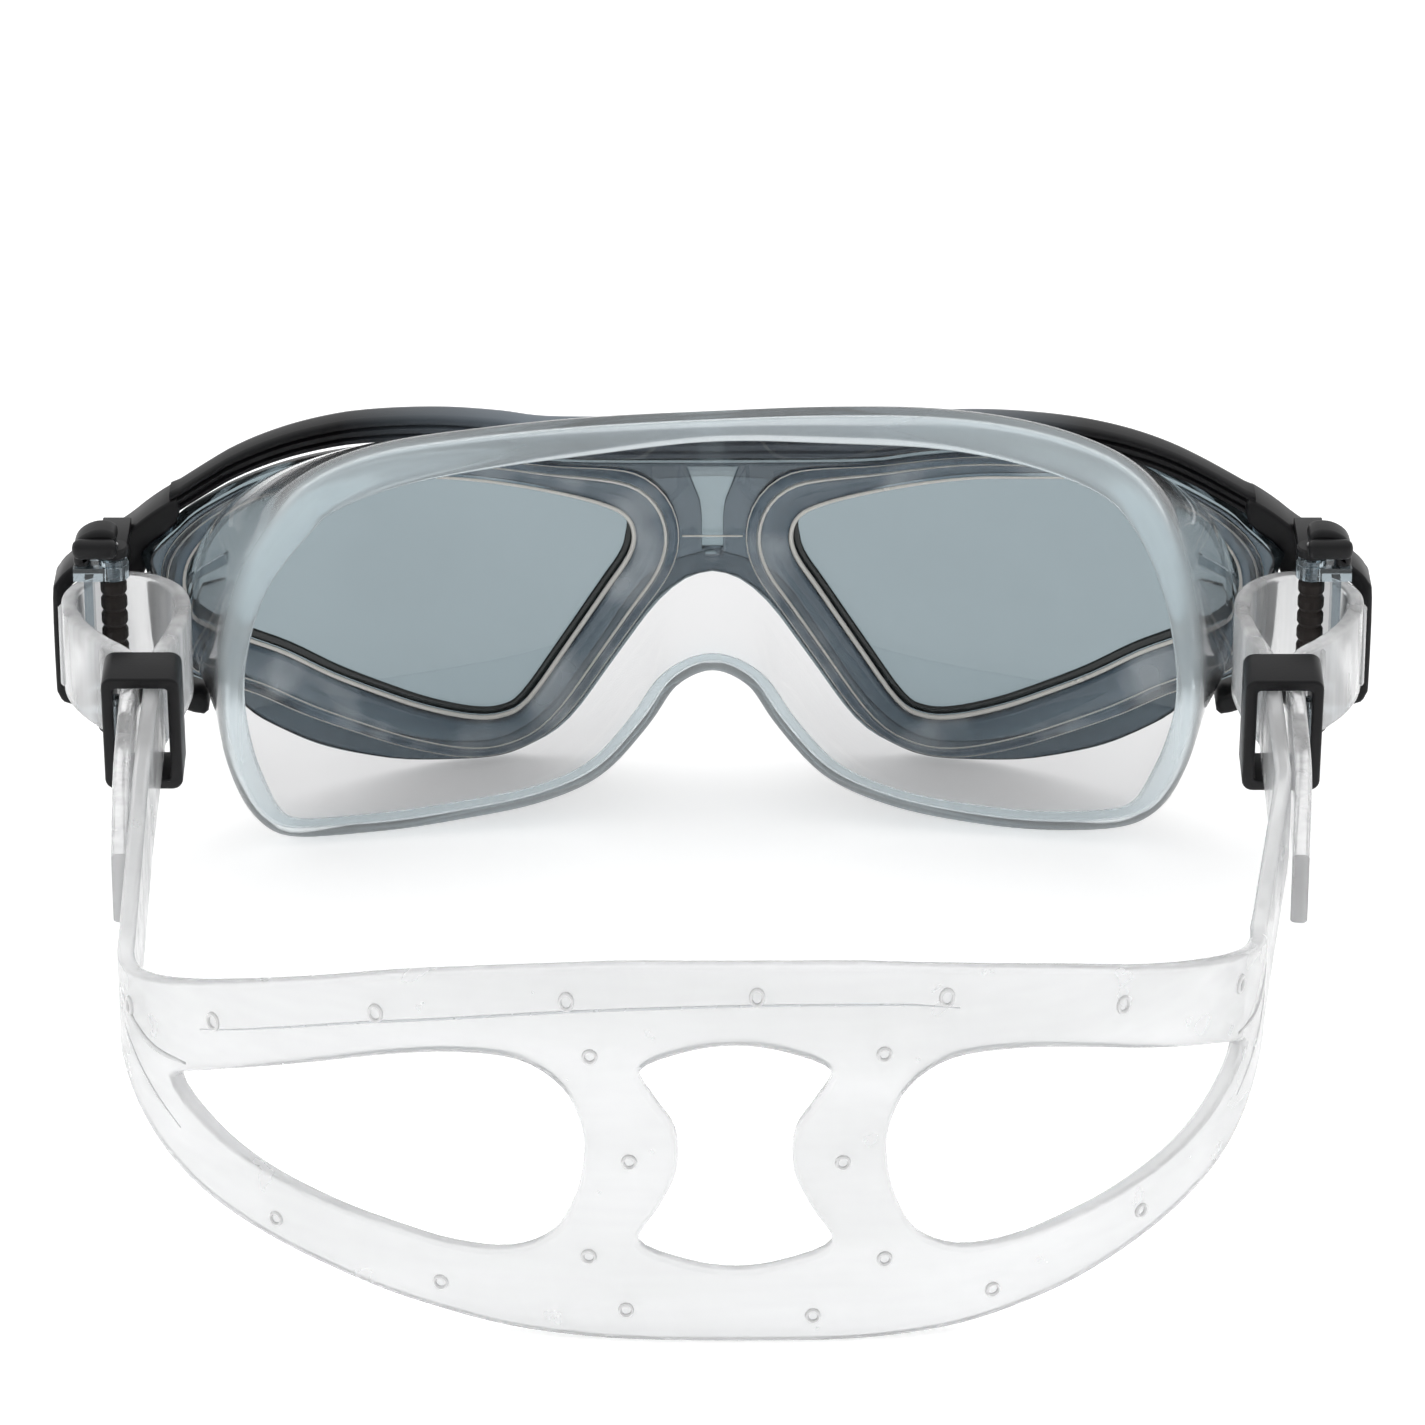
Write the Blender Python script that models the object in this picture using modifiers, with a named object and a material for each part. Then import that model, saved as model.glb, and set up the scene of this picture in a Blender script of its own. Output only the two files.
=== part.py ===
"""A low-volume swim mask with a split silicone strap, standing on a table.

Metres, +Z up. +Y is the way the wearer looks, +X is the wearer's right. The mask rests on the two cheek lobes of its
skirt, and the split rear part of the strap stands on its lower edge behind it. The pieces are laid out with y = 0 at
the front of the lens and then moved forward, so that the origin ends up under the middle of the whole object.
"""

import math

import bmesh
import bpy
import numpy as np
from mathutils import Vector

GAP = 0.0003
SIDES = ((-1, "left"), (1, "right"))

# Lens: one shield, straight in the middle and swept back at its ends
LENS_THICKNESS = 0.0020
LENS_REACH = 0.084
LENS_SWEEP = 0.032
LENS_STATION = 0.006

# Brow bar along the top of the lens
BAR_END = 0.079
BAR_FRONT = 0.0028
BAR_BACK = -0.0022
BAR_TOP = [(0, 0.0558), (0.023, 0.0563), (0.032, 0.0577), (0.0425, 0.0590), (0.057, 0.0599), (0.068, 0.0594),
           (0.079, 0.0572)]
BAR_HEIGHT = [(0, 0.0065), (0.025, 0.0052), (0.045, 0.0040), (0.079, 0.0036)]

# Lens outline below the bar, from the outer top corner round to the nose arch (outward, up)
LENS_OUTLINE = [(0.0770, 0.0534), (0.0796, 0.0519), (0.0824, 0.0504), (0.0838, 0.0486), (0.0834, 0.0470),
                (0.0827, 0.0445), (0.0825, 0.0390), (0.0817, 0.0325), (0.0796, 0.0280), (0.0766, 0.0250),
                (0.0732, 0.0216), (0.0690, 0.0158), (0.0603, 0.0082), (0.0494, 0.0030), (0.0400, 0.0012),
                (0.0335, 0.0009), (0.0285, 0.0024), (0.0220, 0.0066), (0.0142, 0.0178), (0.0080, 0.0268),
                (0.0036, 0.0308)]
LENS_ARCH = 0.0318

# Skirt: (seat edge, root on the lens, lip with its depth, width of the turned-in lip), top centre round to the nose
SKIRT_THICKNESS = 0.0016
SKIRT_SECTIONS = [
    ((0, 0.0462), (0, 0.0490), (0, -0.0200, 0.0660), 0.0030),
    ((0.0165, 0.0440), (0.0180, 0.0496), (0.0180, -0.0220, 0.0670), 0.0042),
    ((0.0320, 0.0474), (0.0340, 0.0530), (0.0345, -0.0265, 0.0684), 0.0046),
    ((0.0480, 0.0500), (0.0500, 0.0544), (0.0490, -0.0320, 0.0692), 0.0052),
    ((0.0605, 0.0498), (0.0636, 0.0540), (0.0605, -0.0370, 0.0666), 0.0050),
    ((0.0690, 0.0470), (0.0730, 0.0508), (0.0668, -0.0420, 0.0606), 0.0042),
    ((0.0726, 0.0424), (0.0768, 0.0444), (0.0711, -0.0445, 0.0514), 0.0032),
    ((0.0726, 0.0366), (0.0777, 0.0365), (0.0729, -0.0450, 0.0410), 0.0026),
    ((0.0700, 0.0310), (0.0764, 0.0288), (0.0732, -0.0420, 0.0290), 0.0026),
    ((0.0648, 0.0240), (0.0716, 0.0196), (0.0726, -0.0350, 0.0136), 0.0038),
    ((0.0572, 0.0168), (0.0630, 0.0114), (0.0656, -0.0295, 0.0014), 0.0030),
    ((0.0480, 0.0112), (0.0500, 0.0050), (0.0510, -0.0270, -0.0002), 0.0026),
    ((0.0396, 0.0082), (0.0402, 0.0026), (0.0375, -0.0250, 0.0012), 0.0024),
    ((0.0322, 0.0084), (0.0312, 0.0028), (0.0262, -0.0235, 0.0040), 0.0022),
    ((0.0256, 0.0146), (0.0226, 0.0086), (0.0172, -0.0225, 0.0088), 0.0022),
    ((0.0186, 0.0252), (0.0150, 0.0198), (0.0104, -0.0220, 0.0166), 0.0022),
    ((0.0122, 0.0352), (0.0080, 0.0292), (0.0060, -0.0220, 0.0234), 0.0022),
    ((0, 0.0385), (0, 0.0334), (0, -0.0220, 0.0263), 0.0022),
]
SKIRT_WALL_STEPS = (0.12, 0.34, 0.60, 0.84)
BRIDGE_OUTLINE = [(0.0134, 0.0452), (0.0112, 0.0400), (0.0122, 0.0362), (0.0102, 0.0328)]
BRIDGE_DEPTH = 0.0020
BRIDGE_TOP = 0.0474
BRIDGE_BOTTOM = 0.0352

# Ratchet buckle: the pin stands upright outboard of the lens
PIN_OUT = 0.0880
PIN_BACK = -0.0402
PIN_RADIUS = 0.0009
BORE_RADIUS = PIN_RADIUS + GAP
PIN_LOW = 0.0252
PIN_HIGH = 0.0541
ROLLER_LOW = 0.0311
ROLLER_HIGH = 0.0486
ROLLER_RADIUS = 0.00195
ROLLER_GROOVE = 0.00035
ROLLER_RINGS = 7
PLATE_OUT = 0.0975
PLATE_IN = 0.0952
HOUSING_DEPTH = 0.0076
HOUSING_OUTLINE = [(0.0793, 0.0566), (0.0830, 0.0552), (0.0868, 0.0528), (0.0915, 0.0506), (0.0952, 0.0484),
                   (0.0970, 0.0464), (PLATE_OUT, 0.0440), (PLATE_OUT, 0.0300), (0.0972, 0.0272), (0.0955, 0.0254),
                   (0.0885, 0.0242), (0.0820, 0.0232), (0.0762, 0.0206), (0.0758, 0.0232), (0.0790, 0.0250),
                   (0.0820, 0.0262), (0.0880, 0.0272), (0.0930, 0.0286), (0.0950, 0.0310), (PLATE_IN, 0.0420),
                   (0.0944, 0.0462), (0.0912, 0.0472), (0.0880, 0.0478), (0.0858, 0.0490), (0.0838, 0.0509),
                   (0.0793, 0.0526)]
HOUSING_IN = 0.0758
HOUSING_IN_BACK = -0.0250
HOUSING_OUT_BACK = -0.0322
LUG_RADIUS = 0.0030
LUG_LOW = 0.0240
LUG_HIGH = 0.0270
EAR_RADIUS = 0.0024
EAR_LOW = 0.0523
EAR_HIGH = 0.0539
EAR_RISER_LOW = 0.0500
EAR_RISER_BACK = -0.0358

# Clamp lever: a C round the pin, with a bar beside the strap
ARM_TOP = (0.0490, 0.0511)
ARM_BOTTOM = (0.0290, 0.0308)
BAR_FACES = (0.0029, 0.0042)
ARM_REACH = 0.0057
ARM_DEPTH = 0.0044
BOSS_RADIUS = 0.0024
BOSS_HIGH = 0.0520
KNOB_OUTLINE = [(0.0034, 0.0514), (0.0055, 0.0514), (0.0055, 0.0546), (0.0050, 0.0552), (0.0038, 0.0554),
                (0.0034, 0.0564), (0.0025, 0.0571), (0.0005, 0.0572), (-0.0005, 0.0566), (-0.0008, 0.0554),
                (-0.0004, 0.0544), (0.0034, 0.0544)]
KNOB_DEPTH = 0.0048
SPRING_RADIUS = 0.0017
SPRING_WIRE = 0.0002
SPRING_TURNS = 1.75
SPRING_LOW = 0.0275
SPRING_HIGH = 0.0285

# Strap: an upright band in plan, bent round the head, looped round each roller and held by a keeper
STRAP_THICKNESS = 0.0024
STRAP_WIDTH = 0.0145
YOKE_CENTRE = 0.0030
YOKE_BACK = -0.1759
YOKE_JOIN = {-1: (0.0800, -0.1323), 1: (0.0748, -0.1276)}
YOKE_EXTRA = {-1: 0.003, 1: 0.007}
YOKE_BEND_TOP = {-1: (2.37, 2.29), 1: (2.44, 2.67)}
YOKE_BEND_BOTTOM = {-1: (2.32, 1.67), 1: (2.86, 1.30)}
YOKE_HEIGHT = 0.0568
YOKE_EVEN = 0.070
YOKE_END = 0.104
YOKE_STATION = 0.005
STRAND_OUT = 0.0809
TAIL_OUT = 0.0843
STRAIGHT_FRONT = -0.0580
STRAIGHT_BACK = -0.088
TAIL_END = (0.0829, -0.1110)
LOOP_PLAN = [(0.0798, -0.0540), (0.0784, -0.0490), (0.0777, -0.0435), (0.0788, -0.0386), (0.0824, -0.0353),
             (0.0871, -0.0343), (0.0914, -0.0356), (0.0942, -0.0392), (0.0942, -0.0436), (0.0922, -0.0484),
             (0.0889, -0.0526), (0.0858, -0.0556)]
STRAP_MID_AT_PIN = 0.03880
STRAP_MID_AT_YOKE = 0.02955
REAR_POINTS = 60
FRONT_POINTS = 8
YOKE_TOP = [(0, YOKE_HEIGHT), (0.012, 0.0565), (0.023, 0.0558), (0.034, 0.0546), (0.045, 0.0528), (0.056, 0.0500),
            (0.068, 0.0465), (0.078, 0.0430), (0.086, 0.0400), (0.093, 0.0378), (0.099, 0.0369)]
YOKE_BOTTOM = [(0, 0.0), (0.012, 0.0), (0.022, 0.0003), (0.030, 0.0009), (0.038, 0.0021), (0.047, 0.0037),
               (0.055, 0.0055), (0.066, 0.0080), (0.076, 0.0108), (0.084, 0.0142), (0.091, 0.0180), (0.098, 0.0211)]
SIDE_WINDOW = [(0.0806, 0.0268), (0.0740, 0.0306), (0.0670, 0.0335), (0.0560, 0.0374), (0.0460, 0.0404),
               (0.0370, 0.0420), (0.0285, 0.0417), (0.0228, 0.0380), (0.0202, 0.0322), (0.0200, 0.0270),
               (0.0212, 0.0213), (0.0242, 0.0157), (0.0300, 0.0127), (0.0380, 0.0126), (0.0460, 0.0139),
               (0.0550, 0.0156), (0.0660, 0.0184), (0.0745, 0.0220)]
MIDDLE_WINDOW = [(0, 0.0447), (0.0065, 0.0437), (0.0125, 0.0408), (0.0105, 0.0362), (0.0079, 0.0318),
                 (0.0077, 0.0260), (0.0100, 0.0205), (0.0128, 0.0148), (0.0065, 0.0118)]
MIDDLE_WINDOW_LOW = 0.0108

# Keeper: a rectangular ring round both strands
KEEPER_OUT = 0.0824
KEEPER_BACK = -0.0630
KEEPER_DEPTH = 0.0078
KEEPER_INSIDE = (0.0078, 0.0153)
KEEPER_BAR = 0.00175

HALF_DEPTH = (YOKE_BACK - STRAP_THICKNESS / 2 + BAR_FRONT) / 2


# ---------------------------------------------------------------- tools

def clear_scene():
    for item in list(bpy.data.objects):
        bpy.data.objects.remove(item, do_unlink=True)


def collection(name):
    found = bpy.data.collections.new(name)
    bpy.context.scene.collection.children.link(found)
    return found


def principled(name, colour, roughness, metallic=0.0):
    made = bpy.data.materials.new(name)
    made.use_nodes = True
    shader = made.node_tree.nodes["Principled BSDF"]
    shader.inputs["Base Color"].default_value = (*colour, 1.0)
    shader.inputs["Roughness"].default_value = roughness
    shader.inputs["Metallic"].default_value = metallic
    return made


def smooth(points, per_span, closed=False):
    """Points on a smooth curve through the given ones, with per_span steps between neighbours."""
    given = np.array(points, float)
    if closed:
        given = np.vstack([given[-1], given, given[0], given[1]])
    else:
        given = np.vstack([2 * given[0] - given[1], given, 2 * given[-1] - given[-2]])
    made = []
    for before, start, end, after in zip(given, given[1:], given[2:], given[3:]):
        for step in range(per_span):
            t = step / per_span
            made.append(0.5 * (2 * start + (end - before) * t + (2 * before - 5 * start + 4 * end - after) * t * t
                               + (3 * start - before - 3 * end + after) * t ** 3))
    if not closed:
        made.append(given[-2])
    return np.array(made)


def mirrored_loop(half, per_span, centre_ends):
    """A closed smooth loop from its half at positive x. centre_ends are the points on the middle plane."""
    first, last = centre_ends
    right = [first] + list(half) + [last]
    left = [(-x, *rest) for x, *rest in reversed(half)]
    return smooth(right + left, per_span, closed=True)


def place(item, group, look):
    item.data.materials.append(look)
    group.objects.link(item)
    return item


def object_from(name, bm, location=(0, 0, 0)):
    """An object whose mesh, given in layout coordinates, is kept relative to its location."""
    bmesh.ops.recalc_face_normals(bm, faces=bm.faces)
    if bm.calc_volume(signed=True) < 0:
        bmesh.ops.reverse_faces(bm, faces=bm.faces)
    bmesh.ops.translate(bm, verts=bm.verts, vec=-Vector(location))
    mesh = bpy.data.meshes.new(name)
    bm.to_mesh(mesh)
    bm.free()
    made = bpy.data.objects.new(name, mesh)
    made.location = location
    return made


def filled_outline(outlines, low, high):
    """A bmesh of flat outlines, filled between them and given depth from low to high along local Z."""
    curve = bpy.data.curves.new("outline", "CURVE")
    curve.dimensions = "2D"
    curve.fill_mode = "BOTH"
    curve.extrude = (high - low) / 2
    for outline in outlines:
        spline = curve.splines.new("POLY")
        spline.points.add(len(outline) - 1)
        for point, (x, y) in zip(spline.points, outline):
            point.co = (x, y, 0, 1)
        spline.use_cyclic_u = True
    holder = bpy.data.objects.new("outline", curve)
    bpy.context.scene.collection.objects.link(holder)
    bpy.context.view_layer.update()
    graph = bpy.context.evaluated_depsgraph_get()
    mesh = bpy.data.meshes.new_from_object(holder.evaluated_get(graph))
    bpy.data.objects.remove(holder)
    bpy.data.curves.remove(curve)
    bm = bmesh.new()
    bm.from_mesh(mesh)
    bpy.data.meshes.remove(mesh)
    bmesh.ops.remove_doubles(bm, verts=bm.verts, dist=1e-6)
    bmesh.ops.translate(bm, verts=bm.verts, vec=(0, 0, (low + high) / 2))
    return bm


def upright(bm):
    """Stands a plate drawn in local X and Y up, so that its outline is across and up, and its depth runs along Y."""
    for vertex in bm.verts:
        x, up, depth = vertex.co
        vertex.co = (x, depth, up)
    return bm


def slice_along_x(bm, stations):
    """Cuts a flat plate into strips, and joins the triangles of each strip into one face."""
    for station in stations:
        bmesh.ops.bisect_plane(bm, geom=bm.verts[:] + bm.edges[:] + bm.faces[:], plane_co=(station, 0, 0),
                               plane_no=(1, 0, 0), dist=1e-7)
    for face in bm.faces:
        face.material_index = int(np.searchsorted(stations, face.calc_center_median().x)) % 2
    bmesh.ops.dissolve_limit(bm, angle_limit=0.01, verts=bm.verts, edges=bm.edges, delimit={"MATERIAL"})
    for face in bm.faces:
        face.material_index = 0
    bmesh.ops.triangulate(bm, faces=bm.faces)
    return bm


def sweep(x):
    """How far the lens has swept back at x."""
    return -LENS_SWEEP * (abs(x) / LENS_REACH) ** 3


def swept(bm, limit):
    """Bends an upright plate back along the lens."""
    slice_along_x(bm, np.arange(-limit, limit, LENS_STATION)[1:])
    for vertex in bm.verts:
        vertex.co.y += sweep(vertex.co.x)
    return bm


def cylinder(name, radius, low, high, location, segments=24):
    bm = bmesh.new()
    bmesh.ops.create_cone(bm, cap_ends=True, segments=segments, radius1=radius, radius2=radius, depth=high - low)
    bmesh.ops.translate(bm, verts=bm.verts, vec=(location[0], location[1], (low + high) / 2))
    return object_from(name, bm, (location[0], location[1], 0))


def box(name, low, high):
    bm = bmesh.new()
    bmesh.ops.create_cube(bm, size=1)
    size = Vector(high) - Vector(low)
    bmesh.ops.scale(bm, verts=bm.verts, vec=size)
    bmesh.ops.translate(bm, verts=bm.verts, vec=(Vector(high) + Vector(low)) / 2)
    return object_from(name, bm)


def combine(item, other, operation, cutters):
    """Adds a Boolean with another object, which is kept as a hidden cutter."""
    cutters.objects.link(other)
    other.hide_render = True
    other.display_type = "WIRE"
    modifier = item.modifiers.new(operation.lower(), "BOOLEAN")
    modifier.operation = operation
    modifier.solver = "EXACT"
    modifier.object = other


def bevelled(item, width, segments=2, angle=40):
    modifier = item.modifiers.new("edges", "BEVEL")
    modifier.width = width
    modifier.segments = segments
    modifier.limit_method = "ANGLE"
    modifier.angle_limit = math.radians(angle)
    return item


# ---------------------------------------------------------------- lens, brow bar and skirt

def bar_edges(x):
    top = np.interp(abs(x), *zip(*[(a, b) for a, b in smooth(BAR_TOP, 4)]))
    height = np.interp(abs(x), *zip(*BAR_HEIGHT))
    return top, top - height


def bar_line(which, limit, count):
    return [(x, bar_edges(x)[which]) for x in np.linspace(-limit, limit, count)]


def make_lens(parts, look):
    """One tinted shield, its top edge under the brow bar and its lower edge arched over the nose."""
    under_bar = [(x, z - GAP) for x, z in bar_line(1, 0.072, 37)]
    right = smooth([under_bar[-1]] + LENS_OUTLINE + [(0, LENS_ARCH)], 2)[1:-1]
    left = [(-x, z) for x, z in reversed([tuple(p) for p in right])]
    outline = under_bar + [tuple(p) for p in right] + [(0, LENS_ARCH)] + left
    bm = swept(upright(filled_outline([outline], -LENS_THICKNESS, 0)), LENS_REACH)
    return place(object_from("lens", bm), parts, look)


def make_brow_bar(parts, look):
    """The black bar that carries the lens and runs from one buckle to the other."""
    outline = bar_line(0, BAR_END, 49) + bar_line(1, BAR_END, 49)[::-1]
    bm = swept(upright(filled_outline([outline], BAR_BACK, BAR_FRONT)), BAR_END)
    return bevelled(place(object_from("brow_frame", bm), parts, look), 0.0006, 1, 50)


def skirt_rows():
    """Closed rows of the skirt's outer surface, from the edge of the eye opening over the wall to the turned-in lip."""
    half = []
    for seat, root, lip, turn in SKIRT_SECTIONS:
        back = -LENS_THICKNESS - GAP
        seat_point = (seat[0], sweep(seat[0]) + back, seat[1])
        root_point = (root[0], sweep(root[0]) + back, root[1])
        half.append((*seat_point, *root_point, *lip, turn))
    loop = mirrored_skirt(half)
    seat, root, lip, turn = loop[:, 0:3], loop[:, 3:6], loop[:, 6:9], loop[:, 9:10]
    along = np.roll(lip, -1, axis=0) - np.roll(lip, 1, axis=0)
    inward = np.cross((0, 1, 0), along)
    inward /= np.linalg.norm(inward, axis=1)[:, None]
    rows = [seat, root]
    for step in SKIRT_WALL_STEPS:
        spread = step ** 0.85
        wall = root + (lip - root) * spread
        wall[:, 1] = root[:, 1] + (lip[:, 1] - root[:, 1]) * step
        rows.append(wall)
    rows.append(lip)
    rows.append(lip + inward * turn * 0.35 + np.array([0, -0.0014, 0]))
    rows.append(lip + inward * turn + np.array([0, -0.0010, 0]))
    return rows


def mirrored_skirt(half):
    """The closed loop of skirt sections from the right half, whose first and last sections lie on the middle plane."""
    flip = np.array([-1, 1, 1, -1, 1, 1, -1, 1, 1, 1])
    right = [np.array(section) for section in half]
    left = [section * flip for section in reversed(right[1:-1])]
    return smooth(right + left, 2, closed=True)


def make_skirt(parts, cutters, look):
    """Soft face seal: a seat on the back of the lens, a wall, and a lip turned in against the face."""
    rows = skirt_rows()
    bm = bmesh.new()
    rings = [[bm.verts.new(point) for point in row] for row in rows]
    for ring, after in zip(rings, rings[1:]):
        count = len(ring)
        for i in range(count):
            bm.faces.new((ring[i], ring[(i + 1) % count], after[(i + 1) % count], after[i]))
    mesh = bpy.data.meshes.new("skirt")
    bm.to_mesh(mesh)
    bm.free()
    skirt = place(bpy.data.objects.new("skirt", mesh), parts, look)
    shell = skirt.modifiers.new("wall", "SOLIDIFY")
    shell.thickness = SKIRT_THICKNESS
    shell.offset = 1
    shell.use_even_offset = True
    combine(skirt, make_bridge(), "UNION", cutters)
    combine(skirt, box("skirt_floor_cutter", (-0.1, -0.06, -0.01), (0.1, 0.01, 0)), "DIFFERENCE", cutters)
    return skirt


def make_bridge():
    """The web of the skirt between the two eye openings."""
    right = smooth([(0, BRIDGE_TOP)] + BRIDGE_OUTLINE + [(0, BRIDGE_BOTTOM)], 3)[1:-1]
    left = [(-x, z) for x, z in reversed([tuple(p) for p in right])]
    outline = [(0, BRIDGE_TOP)] + [tuple(p) for p in right] + [(0, BRIDGE_BOTTOM)] + left
    back = -LENS_THICKNESS - 1.5 * GAP
    return object_from("skirt_bridge", upright(filled_outline([outline], back - BRIDGE_DEPTH, back)))


# ---------------------------------------------------------------- buckles

def make_housing(side, label, parts, cutters, look):
    """Black frame of the buckle: two arms from the lens to an outer plate, with a seat for each end of the pin."""
    outline = [(side * x, z) for x, z in HOUSING_OUTLINE]
    bm = upright(filled_outline([outline], -HOUSING_DEPTH / 2, HOUSING_DEPTH / 2))
    slope = (HOUSING_OUT_BACK - HOUSING_IN_BACK) / (PLATE_OUT - HOUSING_IN)
    for vertex in bm.verts:
        vertex.co.y += HOUSING_IN_BACK + slope * (abs(vertex.co.x) - HOUSING_IN)
    housing = place(object_from(f"{label}_buckle_housing", bm), parts, look)
    axis = (side * PIN_OUT, PIN_BACK)
    front = HOUSING_OUT_BACK + HOUSING_DEPTH / 4
    across = sorted((side * (PIN_OUT - LUG_RADIUS + GAP), side * (PIN_OUT + LUG_RADIUS - GAP)))
    lug = box(f"{label}_lug_arm", (across[0], PIN_BACK, LUG_LOW), (across[1], front, LUG_HIGH))
    combine(housing, lug, "UNION", cutters)
    combine(housing, cylinder(f"{label}_lug_end", LUG_RADIUS, LUG_LOW, LUG_HIGH, axis), "UNION", cutters)
    across = sorted((side * (PIN_OUT - EAR_RADIUS + GAP), side * (PIN_OUT + EAR_RADIUS - GAP)))
    ear = box(f"{label}_ear_arm", (across[0], PIN_BACK, EAR_LOW), (across[1], front, EAR_HIGH))
    combine(housing, ear, "UNION", cutters)
    riser = box(f"{label}_ear_riser", (across[0] + GAP, EAR_RISER_BACK, EAR_RISER_LOW),
                (across[1] - GAP, front - GAP, (EAR_LOW + EAR_HIGH) / 2))
    combine(housing, riser, "UNION", cutters)
    combine(housing, cylinder(f"{label}_ear_end", EAR_RADIUS, EAR_LOW, EAR_HIGH, axis), "UNION", cutters)
    bore = cylinder(f"{label}_housing_bore", BORE_RADIUS, PIN_LOW - GAP, PIN_HIGH + GAP, axis, 20)
    combine(housing, bore, "DIFFERENCE", cutters)
    return housing


def make_pin(side, label, parts, look):
    pin = cylinder(f"{label}_roller_pin", PIN_RADIUS, PIN_LOW, PIN_HIGH, (side * PIN_OUT, PIN_BACK), 16)
    return place(pin, parts, look)


def make_roller(side, label, parts, look):
    """Ringed roller that the strap runs round: a bored profile turned about the pin."""
    ring = (ROLLER_HIGH - ROLLER_LOW) / ROLLER_RINGS
    profile = []
    for number in range(ROLLER_RINGS):
        top = ROLLER_HIGH - number * ring
        profile.append((ROLLER_RADIUS - ROLLER_GROOVE, top))
        profile.append((ROLLER_RADIUS, top - 0.25 * ring))
        profile.append((ROLLER_RADIUS, top - 0.75 * ring))
    profile.append((ROLLER_RADIUS - ROLLER_GROOVE, ROLLER_LOW))
    profile.append((BORE_RADIUS, ROLLER_LOW))
    profile.append((BORE_RADIUS, ROLLER_HIGH))
    mesh = bpy.data.meshes.new(f"{label}_ratchet_roller")
    edges = [(i, (i + 1) % len(profile)) for i in range(len(profile))]
    mesh.from_pydata([(radius, 0, z) for radius, z in profile], edges, [])
    roller = place(bpy.data.objects.new(f"{label}_ratchet_roller", mesh), parts, look)
    roller.location = (side * PIN_OUT, PIN_BACK, 0)
    turned = roller.modifiers.new("turned", "SCREW")
    turned.angle = math.tau
    turned.steps = 18
    turned.render_steps = 18
    turned.use_merge_vertices = True
    turned.merge_threshold = 0.00001
    return roller


def arm_plate(side, reach, low, high):
    """One arm of the lever: a plate with a round end about the pin."""
    half = ARM_DEPTH / 2
    start = math.asin(half / BOSS_RADIUS)
    angles = np.linspace(start, math.tau - start, 15)
    outline = [(BOSS_RADIUS * math.cos(a), BOSS_RADIUS * math.sin(a)) for a in angles]
    outline += [(reach, -half), (reach, half)]
    return filled_outline([[(side * (PIN_OUT + x), PIN_BACK + y) for x, y in outline]], low, high)


def make_lever(side, label, parts, cutters, look):
    """Clear C-shaped clamp lever: two arms round the pin, joined by the bar that presses on the strap."""
    origin = (side * PIN_OUT, PIN_BACK, 0)
    lever = object_from(f"{label}_clamp_lever", arm_plate(side, ARM_REACH, *ARM_TOP), origin)
    place(lever, parts, look)
    near, far = BAR_FACES
    across = sorted((side * (PIN_OUT + near), side * (PIN_OUT + far)))
    half = ARM_DEPTH / 2 - GAP
    bar = box(f"{label}_lever_bar", (across[0], PIN_BACK - half, (ARM_BOTTOM[0] + ARM_BOTTOM[1]) / 2),
              (across[1], PIN_BACK + half, (ARM_TOP[0] + ARM_TOP[1]) / 2))
    combine(lever, bar, "UNION", cutters)
    lower = object_from(f"{label}_lower_arm", arm_plate(side, far + GAP, *ARM_BOTTOM), origin)
    combine(lever, lower, "UNION", cutters)
    boss = cylinder(f"{label}_upper_boss", BOSS_RADIUS - GAP, sum(ARM_TOP) / 2, BOSS_HIGH, origin)
    combine(lever, boss, "UNION", cutters)
    bore = cylinder(f"{label}_lever_bore", BORE_RADIUS, ARM_BOTTOM[0] - GAP, BOSS_HIGH + GAP, origin, 16)
    combine(lever, bore, "DIFFERENCE", cutters)
    return lever


def make_knob(side, label, parts, look):
    """Thumb knob on the upper arm of the lever, with a roof-shaped head over the end of the pin."""
    placed = [(side * (PIN_OUT + x), z) for x, z in KNOB_OUTLINE]
    bm = upright(filled_outline([placed], PIN_BACK - KNOB_DEPTH / 2, PIN_BACK + KNOB_DEPTH / 2))
    knob = object_from(f"{label}_thumb_knob", bm, (side * PIN_OUT, PIN_BACK, 0))
    return bevelled(place(knob, parts, look), 0.0004, 2, 50)


def make_spring(side, label, parts, look):
    """Small torsion spring round the pin, between the lever and the lower lug."""
    curve = bpy.data.curves.new(f"{label}_lever_spring", "CURVE")
    curve.dimensions = "3D"
    curve.bevel_depth = SPRING_WIRE
    curve.bevel_resolution = 2
    curve.use_fill_caps = True
    per_turn = 10
    count = int(SPRING_TURNS * per_turn) + 1
    spline = curve.splines.new("POLY")
    spline.points.add(count - 1)
    for number, point in enumerate(spline.points):
        turn = side * math.tau * number / per_turn
        height = SPRING_LOW + (SPRING_HIGH - SPRING_LOW) * number / (count - 1)
        point.co = (SPRING_RADIUS * math.cos(turn), SPRING_RADIUS * math.sin(turn), height, 1)
    spring = bpy.data.objects.new(f"{label}_lever_spring", curve)
    spring.location = (side * PIN_OUT, PIN_BACK, 0)
    return place(spring, parts, look)


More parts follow.
